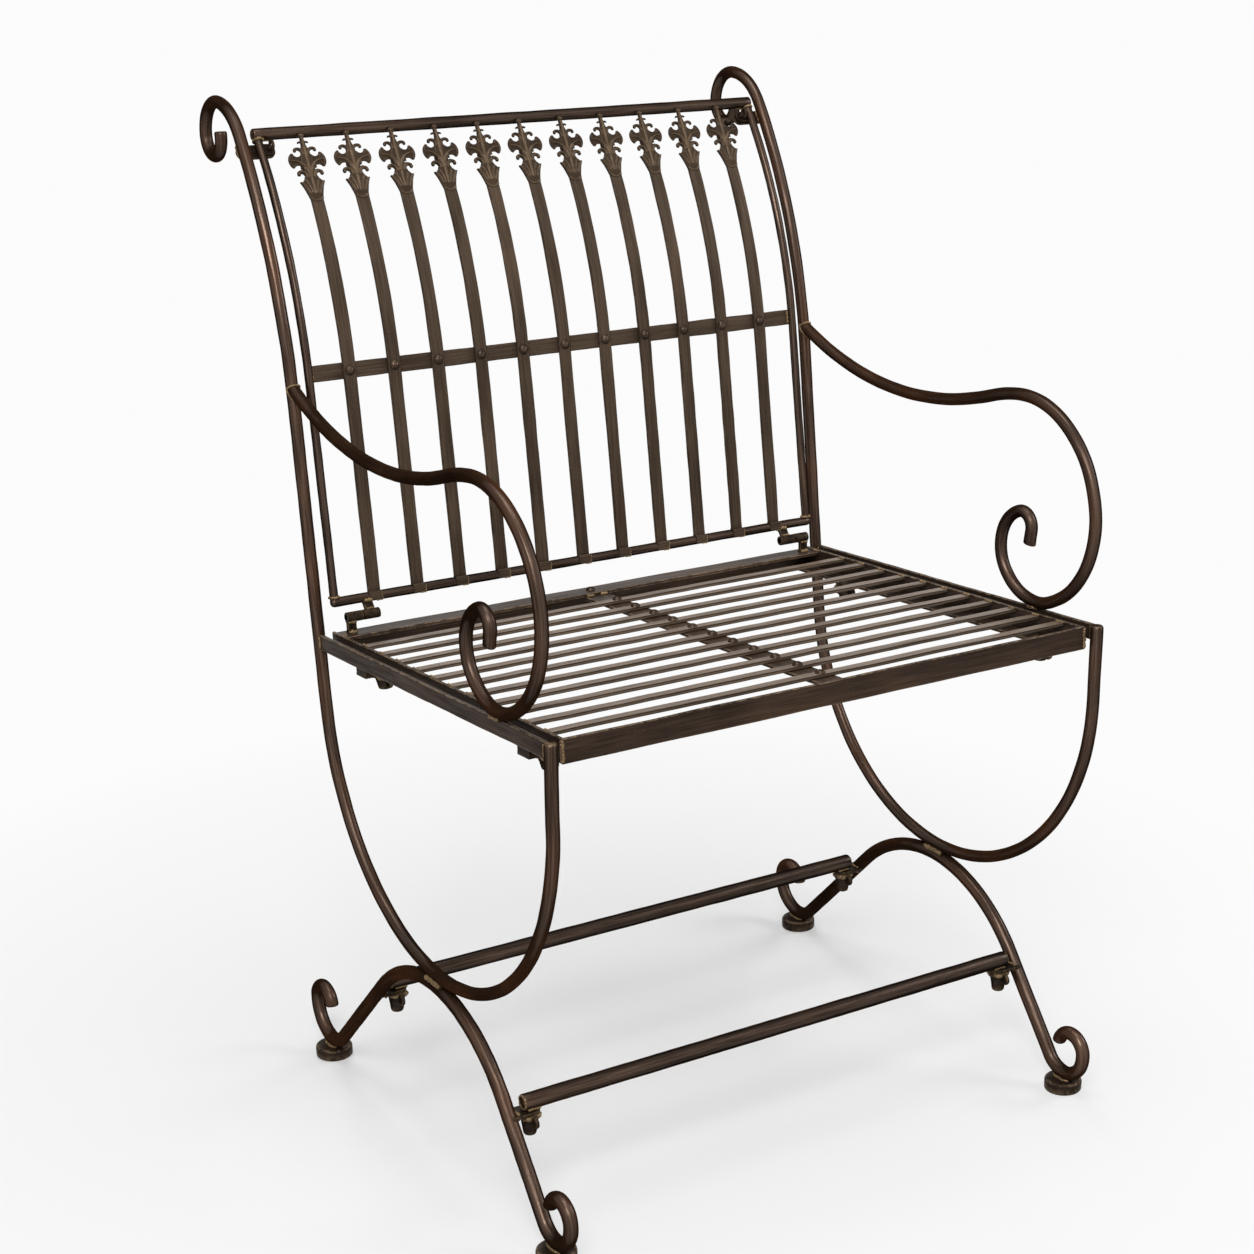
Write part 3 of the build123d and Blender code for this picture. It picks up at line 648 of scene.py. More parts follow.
def iron(
    name, shades, rub_and_edge_shade, rub_and_edge_shade_amount, rough, gloss, metal=0.0, streak=1.0, coarse=0.0, even=0.0, flecks=0.10
):
    """Antique bronze paint on iron: warm patches, drawn streaks, a colour on the edges, gold flecks and a
    fine grain.

    The edge colour is a lighter rubbed colour on most paints and painted shade, near black, on the seat and
    back slats.
    The shades are a dark, a middle and a warm colour in thousandths. The gloss runs from its first
    value, where the surface faces the viewer, to its second at the rim.
    """
    material = bpy.data.materials.new(name)
    net = Net(material)
    grain = net.add("ShaderNodeAttribute", attribute_name="grain").outputs["Vector"]
    edge = net.add("ShaderNodeAttribute", attribute_name="edge").outputs["Fac"]
    spot = net.add("ShaderNodeTexCoord").outputs["Object"]
    patches = net.noise(net.scaled(grain, (7, 70, 70)), 1.0, 3.0, 0.5)
    clouds = net.noise(spot, 15.0, 2.0, 0.5)
    streaks = net.noise(net.scaled(grain, (18, 620, 620)), 1.0, 3.0, 0.6)
    speck = net.noise(spot, 900.0, 2.0, 0.6)
    hammered = net.noise(spot, 210.0, 2.0, 0.5)
    dark, mid, warm = (tuple(part / 1000 for part in shades[i : i + 3]) for i in (0, 3, 6))
    blend = net.plus(net.times(patches, 0.5), net.times(clouds, 0.5))
    paint = net.ramp(blend, (0.32, dark), (0.50, mid), (0.67, warm))
    lines = net.ramp(streaks, (0.30, (0.70, 0.70, 0.70)), (0.52, (1, 1, 1)), (0.75, (1.30, 1.28, 1.22)))
    paint = net.mix(0.7 * streak, paint, lines, "MULTIPLY")
    dots = net.ramp(speck, (0.30, (0.82, 0.82, 0.82)), (0.55, (1, 1, 1)), (0.74, (1.22, 1.18, 1.1)))
    paint = net.mix(0.5, paint, dots, "MULTIPLY")
    gilt = net.span(net.noise(spot, 260.0, 4.0, 0.7), 0.62, 0.72)
    paint = net.mix(net.times(gilt, flecks), paint, GOLD)
    # Edges take the edge colour in chips: rubbed paint on most bars, painted shade darkening the slat edges.
    chips = net.span(net.noise(spot, 160.0, 4.0, 0.65), 0.40, 0.60, even, 1.0)
    rub_and_shade_mask = net.math("MULTIPLY", net.span(edge, 0.3, 1.0), net.times(chips, rub_and_edge_shade_amount), clamp=True)
    paint = net.mix(rub_and_shade_mask, paint, rub_and_edge_shade)
    shine = net.span(net.plus(patches, streaks), 0.7, 1.35, rough + 0.08, rough - 0.08)
    height = net.plus(net.times(streaks, 0.5 * streak), net.times(speck, 0.3))
    height = net.plus(height, net.times(hammered, 0.8 + 1.6 * coarse))
    bump = net.add("ShaderNodeBump", {"Strength": 0.5, "Distance": 0.0002, "Height": height}).outputs[0]
    facing = net.add("ShaderNodeLayerWeight", {"Blend": 0.5}).outputs["Facing"]
    level = net.span(facing, 0.0, 0.42, *gloss)
    level = net.times(level, net.span(streaks, 0.38, 0.62, 1.0 - 0.60 * streak, 1.0 + 0.25 * streak))
    inputs = {
        "Base Color": paint, "Roughness": shine, "Normal": bump, "Metallic": metal,
        "Specular IOR Level": level, "Specular Tint": GLOSS_TINT,
    }
    shader = net.add("ShaderNodeBsdfPrincipled", inputs)
    net.add("ShaderNodeOutputMaterial", {"Surface": shader.outputs[0]})
    return material


# Paints: shades, edge colour and its amount (rubbed paint, and painted edge shade on the slats), roughness,
# gloss, and what else differs
SATIN = (1.0, 0.0)
FLAT = (0.32, 0.05)
# Near-black edge colour of the back slats, strap and pads: painted shade on their edges
PAINTED_EDGE_SHADE = (0.010, 0.007, 0.005)
PAINTS = {
    "round_bar": ((10, 5, 3, 23, 12, 7, 56, 23, 11), RUBBED, 0.6, 0.35, SATIN, {}),
    "dark_bar": ((7, 4, 3, 15, 9, 6, 34, 19, 11), RUBBED, 0.6, 0.29, SATIN, {}),
    "flat_bar": ((19, 12, 8, 36, 23, 16, 58, 34, 21), RUBBED, 0.8, 0.38, FLAT, {}),
    # seat_slat: its light shades paint the light on the slat tops, its near-black edge colour, laid evenly,
    # the shade on their edges
    "seat_slat": (
        (90, 62, 42, 128, 90, 62, 158, 112, 76), (0.008, 0.006, 0.004), 0.95, 0.36, (0.30, 0.22),
        {"even": 0.9},
    ),
    # back_slat: its edge colour is painted shade darkening the slat edges
    "back_slat": ((32, 22, 15, 58, 40, 27, 80, 54, 36), PAINTED_EDGE_SHADE, 0.75, 0.42, FLAT, {"flecks": 0.04}),
    "lug": ((7, 5, 4, 15, 10, 7, 26, 16, 10), GOLD, 0.35, 0.42, (0.15, 0.05), {"coarse": 0.5}),
    "fastener": ((8, 6, 5, 18, 12, 9, 32, 21, 13), GOLD, 0.5, 0.32, (0.4, 0.0), {}),
    "rivet": ((16, 11, 8, 34, 23, 16, 52, 35, 23), RUBBED, 0.35, 0.24, (0.6, 0.0), {}),
    "cast_leaf": (
        (10, 6, 4, 26, 17, 10, 44, 28, 16), (0.140, 0.098, 0.058), 0.85, 0.34, (0.35, 0.05),
        {"streak": 0.2, "coarse": 0.6, "even": 0.5},
    ),
    "foot": ((9, 6, 4, 19, 12, 8, 34, 21, 13), RUBBED, 0.7, 0.38, (0.25, 0.05), {"coarse": 0.4}),
    "weld": (
        (40, 26, 14, 110, 72, 36, 180, 118, 58), (0.32, 0.22, 0.115), 0.8, 0.34, (0.6, 0.1),
        {"metal": 0.3, "streak": 0.0, "coarse": 1.0, "even": 0.3},
    ),
}
finishes = {paint: iron(f"bronze_{paint}", *values, **more) for paint, (*values, more) in PAINTS.items()}


# Pieces
def linked(name, data):
    """New object in the scene."""
    thing = bpy.data.objects.new(name, data)
    bpy.context.scene.collection.objects.link(thing)
    return thing


def joined(skins):
    """Several skins as one."""
    faces = []
    count = 0
    for skin in skins:
        faces += [[i + count for i in face] for face in skin[1]]
        count += len(skin[0])
    points, grain, edge = (np.concatenate([skin[part] for skin in skins]) for part in (0, 2, 3))
    return points, faces, grain, edge


def add(name, skins, body, slot, nodes=(), paint=None):
    """One piece from skins, riding on a body and standing for its nodes."""
    points, faces, grain, edge = joined(skins)
    points = (points + np.array([0, origin_y, 0])) * MM
    mesh = bpy.data.meshes.new(name)
    mesh.from_pydata(points.tolist(), [], faces)
    mesh.polygons.foreach_set("use_smooth", np.ones(len(mesh.polygons), bool))
    layer = mesh.attributes.new("grain", "FLOAT_VECTOR", "POINT")
    layer.data.foreach_set("vector", (grain * MM).astype(np.float32).ravel())
    layer = mesh.attributes.new("edge", "FLOAT", "POINT")
    layer.data.foreach_set("value", edge.astype(np.float32))
    mesh.materials.append(finishes[paint or slot])
    mesh.validate()
    piece = linked(name, mesh)
    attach(piece, body)
    if nodes:
        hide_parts(*nodes)


BOTH = (1, -1)
SIDES = (("right", 1), ("left", -1))
X, Y, Z = (1, 0, 0), (0, 1, 0), (0, 0, 1)


def across_seat(half_length, y, z, *more, **options):
    """Flat bar along X of the seat."""
    return straight_bar(seat_place, (-half_length, y, z), (half_length, y, z), *more, **options)


def along_seat(x, start, end, z, *more, **options):
    """Flat bar along Y of the seat."""
    return straight_bar(seat_place, (x, start, z), (x, end, z), *more, **options)


# Side frames
rail_x = frame_half_width + rail_outset
rail_start = 5.0
for number, (side, sign) in enumerate(SIDES):
    x = sign * frame_half_width
    seed = 10 + 20 * number
    post = side_bar(post_line, x, bar_d, seed, (2.4, 1.6))
    leg = side_bar(leg_line, x, leg_bar_d, seed + 1, (1.8, 1.8))
    arm = side_bar(arm_line, x, bar_d, seed + 2, (0.9, 0.6), flare=0.22)
    rail_ends = (rail_start, rail_length, -rail_h / 2)
    rail = along_seat(sign * rail_x, *rail_ends, Z, rail_h, rail_t, seed + 3, bevel=0.3)
    add(f"{side}_post_bar", [post], "frame", "round_bar", [f"{side}_back_post"])
    add(f"{side}_leg_bar", [leg], "frame", "round_bar", [f"{side}_leg_arch"])
    add(f"{side}_arm_bar", [arm], "frame", "round_bar", [f"{side}_armrest"])
    add(f"{side}_rail_bar", [rail], "frame", "flat_bar", [f"{side}_side_rail"])

# Feet
foot_profile = [
    (0, 0), (15.2, 0), (16.4, 0.4), (17, 1.4), (17, 8.6), (16.6, 9.8), (15.6, 10.7), (14.4, 11), (0, 11),
]
foot_wear = [0, 0.3, 0.8, 0.8, 0.2, 0.9, 1.0, 0.4, 0]
feet = []
for x in (frame_half_width, -frame_half_width):
    for y in foot_ys:
        feet.append(lathe(foot_profile, place(x, y, 0), len(feet) + 60, 40, 0.006, foot_wear))
add("foot_pucks", feet, "frame", "foot", ["feet"])

# Stretchers with their lugs, studs and wing nuts
nut_profile = [
    (0, -20), (4.2, -20), (5.1, -19.5), (5.7, -18.2), (6.6, -12), (7.4, -6.6), (8.2, -5), (8.6, -3.6),
    (8.6, -1.2), (8.1, -0.2), (7.0, 0), (0, 0),
]
nut_wear = [0, 0.2, 0.8, 0.6, 0.1, 0.2, 0.5, 1, 1, 0.8, 0.2, 0]
stud_profile = [(0, 0), (2.5, 0), (2.5, 16), (0, 16)]
stud_drop = 12
wing_skin_t = wing_t + 1.0
wing_arc = np.linspace(-2.3, 2.3, 15)
wing_rim = np.column_stack([np.cos(wing_arc) * wing_ear_r + wing_reach, np.sin(wing_arc) * wing_ear_r])
wing_line = np.concatenate([wing_rim, [(4.0, 3.4), (4.0, 0), (4.0, -3.4)]])
stretcher_rise = lug_t / 2 + stretcher_d / 2 - weld_sink
lugs = []
studs = []
nuts = []
nut_beads = []


def wing_nut(matrix, seed, length=1.0):
    """Capped wing nut below a place, with two round ears along Y and lumps of weld round its neck."""
    nuts.append(lathe([(r, z * length) for r, z in nut_profile], matrix, seed, 24, 0.015, nut_wear))
    for sign in BOTH:
        stand = matrix @ place(0, 0, -wing_drop) @ ALONG_X
        nuts.append(plate(wing_line * np.array([sign, 1]), wing_skin_t, stand, seed + 1, 1.1))
    for turn in (20, 110, 200, 290):
        ring_weld(nut_beads, matrix @ place(0, 0, -2.4), 8.2, turn, turn + 58, 10, 2.2, seed + turn)


for number, (name, (y, leg_z)) in enumerate(stretchers.items()):
    axis_z = leg_z + stretcher_rise
    bar = cross_bar(stretcher_half_length, stretcher_d, (y, axis_z), 70 + number, (1.2, 1.2), 28)
    add(f"{name}_bar", [bar], "frame", "round_bar", [name], "dark_bar")
    lug_line = tongue(stretcher_bolt_x, frame_half_width, lug_w / 2)
    for sign in BOTH:
        bolt_x = sign * stretcher_bolt_x
        lugs.append(plate(lug_line * np.array([sign, 1]), lug_t, place(0, y, leg_z), 74 + number))
        studs.append(lathe(stud_profile, place(bolt_x, y, leg_z - stud_drop), 76, 16))
        wing_nut(place(bolt_x, y, leg_z - lug_t / 2), 80 + 4 * number + sign)
        end_disc = place(sign * (stretcher_half_length - 0.3), y, axis_z) @ ALONG_X
        ring_weld(nut_beads, end_disc, stretcher_d / 2 - 1.5, 0, 352, 40, 1.0, 90 + 4 * number + sign)
add("stretcher_lug_plates", lugs, "frame", "lug", ["stretcher_lugs"])

# Seat panel
inner_x = seat_half_width - seat_bar_t
front_back_y = seat_front_gap + seat_bar_t
front_mid_y = seat_front_gap + seat_bar_t / 2
rear_front_y = seat_rear_y - seat_bar_t
flange_front_y = seat_rear_y - rear_flange_w
flange_mid_y = seat_rear_y - rear_flange_w / 2
apron_y = seat_rear_y - seat_bar_t / 2
apron_drop = 1
slat_bottom = -slat_drop - slat_t
slat_middle = -slat_drop - slat_t / 2
strap_middle = slat_bottom - strap_t / 2
ledge_top = strap_t - seat_bar_h
ledge_middle = ledge_top - strap_t / 2
seat_bolt_x = inner_x - ledge_w / 2
mid_bar_z = -seat_bar_h / 2
apron_z = mid_bar_z - apron_drop
front_place = (seat_half_width, front_mid_y, mid_bar_z)
front_bar = across_seat(*front_place, Z, seat_bar_h, seat_bar_t, 100, bevel=0.4, lumps=0.16)
add("seat_front_bar", [front_bar], "frame", "flat_bar", ["seat_front_rail"])
for number, (side, sign) in enumerate(SIDES):
    x = sign * (seat_half_width - seat_bar_t / 2)
    side_ends = (front_back_y - weld_sink, seat_rear_y, mid_bar_z)
    bar = along_seat(x, *side_ends, Z, seat_bar_h, seat_bar_t, 104 + number, bevel=0.4)
    add(f"seat_{side}_side_bar", [bar], "frame", "flat_bar", [f"seat_{side}_bar"])
flange = across_seat(inner_x, flange_mid_y, slat_middle, Y, rear_flange_w, slat_t, 108, bevel=0.3)
apron_h = seat_bar_h - 2 * apron_drop
apron = across_seat(inner_x, apron_y, apron_z, Z, apron_h, seat_bar_t, 109, bevel=0.3)
add("seat_rear_angle", [flange, apron], "frame", "flat_bar", ["seat_rear_rail"])
ledges = []
for sign in BOTH:
    ledge_ends = (front_back_y, rear_front_y, ledge_middle)
    ledges.append(along_seat(sign * seat_bolt_x, *ledge_ends, X, ledge_w, strap_t, 112 + sign))
add("seat_ledge_strips", ledges, "frame", "flat_bar", ["seat_ledges"])
strap = along_seat(0, front_back_y, rear_front_y, strap_middle, X, seat_strap_w, strap_t, 115)
add("seat_centre_strap", [strap], "frame", "flat_bar", ["seat_strap"])
slat_ys = [first_slat_y + i * seat_pitch for i in range(slat_count)]
for i, y in enumerate(slat_ys):
    slat = across_seat(inner_x, y, slat_middle, Y, seat_slat_w, slat_t, 120 + i, corner=0.9)
    add(f"seat_slat_bar_{i + 1:02d}", [slat], "frame", "seat_slat", [f"seat_slat_{i + 1:02d}"])

# Rivets: domed head above a place, flat tail below the grip
grip = slat_t + strap_t
rivet_profile = [
    (0, 3.0), (1.3, 2.9), (2.5, 2.45), (3.5, 1.7), (4.1, 0.85), (4.4, 0.2), (4.45, -0.1), (2.0, -0.3),
    (2.0, -grip), (3.8, -grip), (4.0, -grip - 0.4), (3.7, -grip - 1.0), (2.6, -grip - 1.2), (0, -grip - 1.2),
]
rivet_wear = [0.7, 0.6, 0.4, 0.3, 0.2, 0.1, 0, 0, 0, 0, 0.6, 0.8, 0.3, 0]


def rivet(matrix, seed):
    """Rivet at a place."""
    return lathe(rivet_profile, matrix, seed, 24, 0.02, rivet_wear)


rivet_ys = slat_ys + [seat_rear_y - rear_rivet_inset]
rivets = [rivet(seat_place @ place(0, y, -slat_drop), 140 + i) for i, y in enumerate(rivet_ys)]
add("seat_rivet_heads", rivets, "frame", "rivet", ["seat_rivets"])

# Seat lugs: bent strips from the side rails to under the side bars, with bolts through the ledges
rail_inner_x = rail_x - rail_t / 2
seat_nut_length = 0.68
seat_bolt_ys = (first_slat_y + seat_pitch / 2, slat_ys[-1] - seat_pitch / 2)
head_profile = [
    (0, 3.0), (1.6, 2.85), (3.2, 2.2), (4.4, 1.2), (5.0, 0.3), (5.0, 0), (2.5, 0), (2.5, -18), (0, -18),
]
seat_lugs = []
for i, y in enumerate(seat_bolt_ys):
    for sign in BOTH:
        x = sign * (rail_inner_x - lug_t / 2)
        bolt_x = sign * seat_bolt_x
        ends = (x, y, -rail_h / 3), (x, y, -seat_bar_h - lug_t)
        seat_lugs.append(straight_bar(seat_place, *ends, Y, lug_w, lug_t, 160 + i, pitch=4))
        outline = tongue(seat_bolt_x, rail_inner_x, lug_w / 2) * np.array([sign, 1])
        seat_lugs.append(plate(outline, lug_t, seat_place @ place(0, y, -seat_bar_h - lug_t / 2), 164 + i))
        studs.append(lathe(head_profile, seat_place @ place(bolt_x, y, ledge_top), 168 + i, 20))
        wing_nut(seat_place @ place(bolt_x, y, -seat_bar_h - lug_t), 170 + 3 * i + sign, seat_nut_length)
add("seat_lug_strips", seat_lugs, "frame", "lug", ["seat_lugs"])
add("bolt_studs", studs, "frame", "fastener", ["bolts"])
add("wing_nut_caps", nuts, "frame", "fastener", ["wing_nuts"])

# Back panel
top_point = panel_point(panel_run)[0]
bottom_point = panel_point(bottom_rail_run)[0]
half_rail = rod_x + rod_d / 2
top_rail = cross_bar(half_rail, top_rail_d, top_point, 200, (1.4, 1.4))
bottom_rail = cross_bar(half_rail, bottom_rail_d, bottom_point, 201, (3.2, 3.2))
add("top_rail_bar", [top_rail], "back_panel", "round_bar", ["back_top_rail"], "dark_bar")
add("bottom_rail_bar", [bottom_rail], "back_panel", "round_bar", ["back_bottom_rail"], "dark_bar")


def panel_line(run0, run1, pitch=6.0):
    """Points and headings of the panel curve between two runs."""
    stops = [panel_point(run) for run in np.linspace(run0, run1, int((run1 - run0) / pitch) + 2)]
    points, leans = zip(*stops)
    return np.array(points), np.radians(90 - np.array(leans))


rod_line = panel_line(bottom_rail_run, panel_run)
for number, (side, sign) in enumerate(SIDES):
    rod = side_bar(rod_line, sign * rod_x, rod_d, 204 + number, (0.4, 0.4), 20)
    add(f"back_{side}_rod_bar", [rod], "back_panel", "round_bar", [f"back_{side}_rod"], "dark_bar")
points, angles = panel_line(bottom_rail_run + 2, finial_run + 2)
flat_out = np.column_stack([np.zeros(len(points)), -np.sin(angles), np.cos(angles)])
back_xs = [(i - (slat_count - 1) / 2) * back_pitch for i in range(slat_count)]
for i, x in enumerate(back_xs):
    centres = np.column_stack([np.full(len(points), x), points])
    wide = np.repeat([[1.0, 0, 0]], len(points), 0)
    slat = flat_bar(centres, wide, flat_out, back_slat_w, slat_t, 210 + i, corner=0.9)
    add(f"back_slat_bar_{i + 1:02d}", [slat], "back_panel", "back_slat", [f"back_slat_{i + 1:02d}"])
strap_place = panel_place(back_strap_run)
ends = (-rod_x + 1, 0, -grip / 2), (rod_x - 1, 0, -grip / 2)
strap = straight_bar(strap_place, *ends, Y, back_strap_w, strap_t, 230)
add("back_cross_strap", [strap], "back_panel", "flat_bar", ["back_strap"], "back_slat")
rivets = [rivet(strap_place @ place(x, 0, slat_t / 2), 232 + i) for i, x in enumerate(back_xs)]
add("back_rivet_heads", rivets, "back_panel", "rivet", ["back_rivets"])


# Leaf finials: cast pieces with flutes, veins, hooks, lobes, barbs and a bud, fused and smoothed
def arc_points(a, b, c, count=14):
    """Points of the circle through a, b and c, from a to c."""
    (ax, ay), (bx, by), (cx, cy) = a, b, c
    d = 2 * (ax * (by - cy) + bx * (cy - ay) + cx * (ay - by))
    sa, sb, sc = ax**2 + ay**2, bx**2 + by**2, cx**2 + cy**2
    ox = (sa * (by - cy) + sb * (cy - ay) + sc * (ay - by)) / d
    oy = (sa * (cx - bx) + sb * (ax - cx) + sc * (bx - ax)) / d
    first, middle, last = (atan2(y - oy, x - ox) for x, y in (a, b, c))
    turn = (last - first) % (2 * pi)
    if (middle - first) % (2 * pi) > turn:
        turn -= 2 * pi
    angle = first + np.linspace(0, turn, count)
    radius = sqrt((ax - ox) ** 2 + (ay - oy) ** 2)
    return np.column_stack([ox + radius * np.cos(angle), oy + radius * np.sin(angle)])


def cane(points, start, end, z):
    """Tapered round rib along points of the leaf, at a height above its middle."""
    points = np.array(points, float)
    count = len(points)
    centres = np.column_stack([points, np.full(count, z)])
    axis = np.gradient(centres, axis=0)
    axis /= np.linalg.norm(axis, axis=1)[:, None]
    across = np.column_stack([-axis[:, 1], axis[:, 0], np.zeros(count)])
    angle = np.linspace(0, 2 * pi, 10, endpoint=False)
    size = np.linspace(start, end, count)[:, None]
    rings = centres[:, None] + (size * np.cos(angle))[..., None] * across[:, None]
    rings[..., 2] += size * np.sin(angle)
    return loft(rings, rings, np.zeros(rings.shape[:2]))


def ball(x, y, z, radius):
    """Round knob of the leaf."""
    angle = np.radians(np.linspace(-90, 90, 9))
    return lathe(np.column_stack([radius * np.cos(angle), radius * np.sin(angle)]), place(x, y, z), 1, 14)


def dense(points, pitch=1.0):
    """Closed outline with more points along its straight stretches."""
    out = []
    for a, b in zip(points, points[1:] + points[:1]):
        a = np.array(a, float)
        b = np.array(b, float)
        count = max(1, int(np.linalg.norm(b - a) / pitch))
        out += [a + (b - a) * t / count for t in range(count)]
    return np.array(out)


lobe_under = arc_points((4.0, 26.0), (8.8, 30.6), (13.9, 28.0))
lobe_out = arc_points((13.9, 28.0), (16.6, 35.0), (12.7, 40.7))
lobe_over = arc_points((12.7, 40.7), (8.4, 36.8), (4.6, 39.0))
lobe = np.concatenate([lobe_under, lobe_out[1:], lobe_over[1:], [(3.0, 36), (2.6, 32), (2.8, 29)]])
ridge = np.concatenate([arc_points((0.8, 19), (3.0, 28.4), (8.4, 33.2)), [(11.6, 34.4), (14.8, 34.4)]])
low_hook = np.concatenate([arc_points((3.4, 18.8), (7.8, 24.4), (10.6, 23.4)), [(10.9, 22.2)]])
high_hook = np.concatenate([arc_points((2.4, 39.4), (6.8, 45.0), (9.3, 44.4)), [(9.5, 43.4)]])
barb = arc_points((0.8, 49.2), (3.2, 50.8), (4.9, 49.8))
outer_flute = [(4.0, 4.2), (6.4, 10.0), (9.6, 14.2)]
inner_flute = [(2.0, 5.0), (3.4, 11.5), (5.4, 16.4)]


def half_leaf(sign):
    """Skins of the right half of the leaf, or of its mirror image."""
    half = np.array([sign, 1])

    def rib(points, *sizes):
        return cane(np.array(points) * half, *sizes)

    return [
        plate(lobe * half, 2.0, np.eye(4), 1, 0.5),
        rib(lobe_out, 0.85, 0.85, 0.7),
        rib(ridge, 1.35, 0.8, 1.3),
        rib(lobe_over[::-1], 0.75, 0.95, 0.7),
        rib(lobe_under, 0.75, 0.95, 0.6),
        rib(low_hook, 2.1, 1.5, 0.2),
        ball(sign * 10.6, 22.0, 0.4, 1.75),
        rib(high_hook, 1.9, 1.3, 0.2),
        ball(sign * 9.3, 43.2, 0.4, 1.5),
        rib(barb, 1.25, 0.85, 0.3),
        rib(outer_flute, 0.9, 0.8, 1.3),
        rib(inner_flute, 0.8, 0.7, 1.4),
        ball(sign * 1.7, 56.9, 0.7, 1.35),
    ]


right_stem = [
    (2.4, -3.0), (4.6, -1.8), (6.2, 0.4), (6.8, 3), (8.8, 9.5), (11.5, 15.4), (9.0, 15.0), (6.5, 17.4),
    (5.0, 20.5), (4.4, 26), (5.4, 33), (4.0, 42), (1.9, 47.5), (1.6, 56),
]
stem = dense(right_stem + [(-x, y) for x, y in reversed(right_stem)])
leaf_skins = [
    plate(stem, 3.2, np.eye(4), 1, 0.7),
    cane([(0, 4), (0, 20), (0, 40), (0, 54)], 1.2, 1.3, 1.2),
    *half_leaf(1),
    *half_leaf(-1),
    ball(0, 56.6, 0, 2.2),
    ball(0, 52.8, 0, 1.9),
    ball(0, 58.2, 0.4, 1.3),
    cane(arc_points((-5.7, 0.4), (0, -2.4), (5.7, 0.4)), 0.9, 0.9, 1.4),
]


def fused(skins, voxel, keep):
    """Points and faces of skins run together into one smooth casting."""
    mesh = bpy.data.meshes.new("casting")
    points, faces = joined(skins)[:2]
    mesh.from_pydata(points.tolist(), [], faces)
    shape = linked("casting", mesh)
    remesh = shape.modifiers.new("fuse", "REMESH")
    remesh.mode = "VOXEL"
    remesh.voxel_size = voxel
    smooth = shape.modifiers.new("smooth", "SMOOTH")
    smooth.factor = 0.5
    smooth.iterations = 2
    thin = shape.modifiers.new("thin", "DECIMATE")
    thin.ratio = keep
    result = bpy.data.meshes.new_from_object(shape.evaluated_get(bpy.context.evaluated_depsgraph_get()))
    out = np.array([vertex.co[:] for vertex in result.vertices])
    sides = [list(face.vertices) for face in result.polygons]
    bpy.data.objects.remove(shape)
    bpy.data.meshes.remove(mesh)
    bpy.data.meshes.remove(result)
    return out, sides


leaf_points, leaf_faces = fused(leaf_skins, 0.36, 0.30)
leaf_edge = np.clip((leaf_points[:, 2] - 1.2) / 1.1, 0, 1)
finials = []
for i, x in enumerate(back_xs):
    points = moved(panel_place(finial_run) @ place(x), leaf_points)
    finials.append((points, leaf_faces, leaf_points + np.array([53.0 * i, 0, 0]), leaf_edge))
add("leaf_finials", finials, "back_panel", "cast_leaf", ["back_finials"])

# Hinges
half_barrel = [(4.5, 7.2), (4.35, 7.6), (4.0, 7.75), (2.7, 7.75), (2.5, 7.55), (2.3, 7.75), (0, 7.75)]
barrel_profile = [(r, -z) for r, z in reversed(half_barrel)] + half_barrel
barrel_wear = [0, 0, 0, 0, 0.6, 1, 0.5, 0.5, 1, 0.6, 0, 0, 0, 0]
lug_reach = bottom_point - hinge
lug_length = np.linalg.norm(lug_reach)
lug_place = place(0, hinge[0], hinge[1], -degrees(atan2(lug_reach[0], lug_reach[1])))
knuckle_offset = (knuckle_l + knuckle_gap) / 2
foot_offset = knuckle_offset + (knuckle_l - hinge_lug_w) / 2


def hinge_lug(matrix, low, high, seed):
    """Strip between two heights of a place at a knuckle."""
    return straight_bar(matrix, (0, 0, low), (0, 0, high), X, hinge_lug_w, hinge_lug_t, seed, 3, corner=1.2)


def barrel(x, seed):
    """Knuckle on the hinge line."""
    return lathe(barrel_profile, hinge_place @ place(x) @ ALONG_X, seed, 28, 0.004, barrel_wear)


seat_knuckles = []
back_knuckles = []
for number, sign in enumerate(BOTH):
    back_x = sign * (hinge_x - knuckle_offset)
    foot_x = sign * (hinge_x + foot_offset)
    seat_knuckles.append(barrel(sign * (hinge_x + knuckle_offset), 240 + number))
    seat_knuckles.append(hinge_lug(hinge_place @ place(foot_x), -hinge_rise - 2, -2, 244))
    back_knuckles.append(barrel(back_x, 242 + number))
    back_knuckles.append(hinge_lug(lug_place @ place(back_x), 2, lug_length, 246))
add("seat_hinge_knuckles", seat_knuckles, "frame", "lug", ["hinge_seat_knuckles"])
add("back_hinge_knuckles", back_knuckles, "back_panel", "lug", ["hinge_back_knuckles"])

# Ring screws in the top corners, with their ears and the tabs behind them
corner = panel_place(panel_run - corner_drop)
screw_x = rod_x - screw_inset
tab_front = -bar_d / 2 + weld_sink
ear_back = tab_front + ear_gap
ear_front = ear_back + ear_t
ear_r = 5.0
ear_top = corner_drop - 3
tab_r = 6.4
tab_end = frame_half_width + bar_d / 2 - 0.5
screw_profile = [(0, -5.8), (1.9, -5.8), (2.5, -5.2), (2.5, 1.2), (2.1, 2.2), (1.5, 3.2), (0, 3.4)]


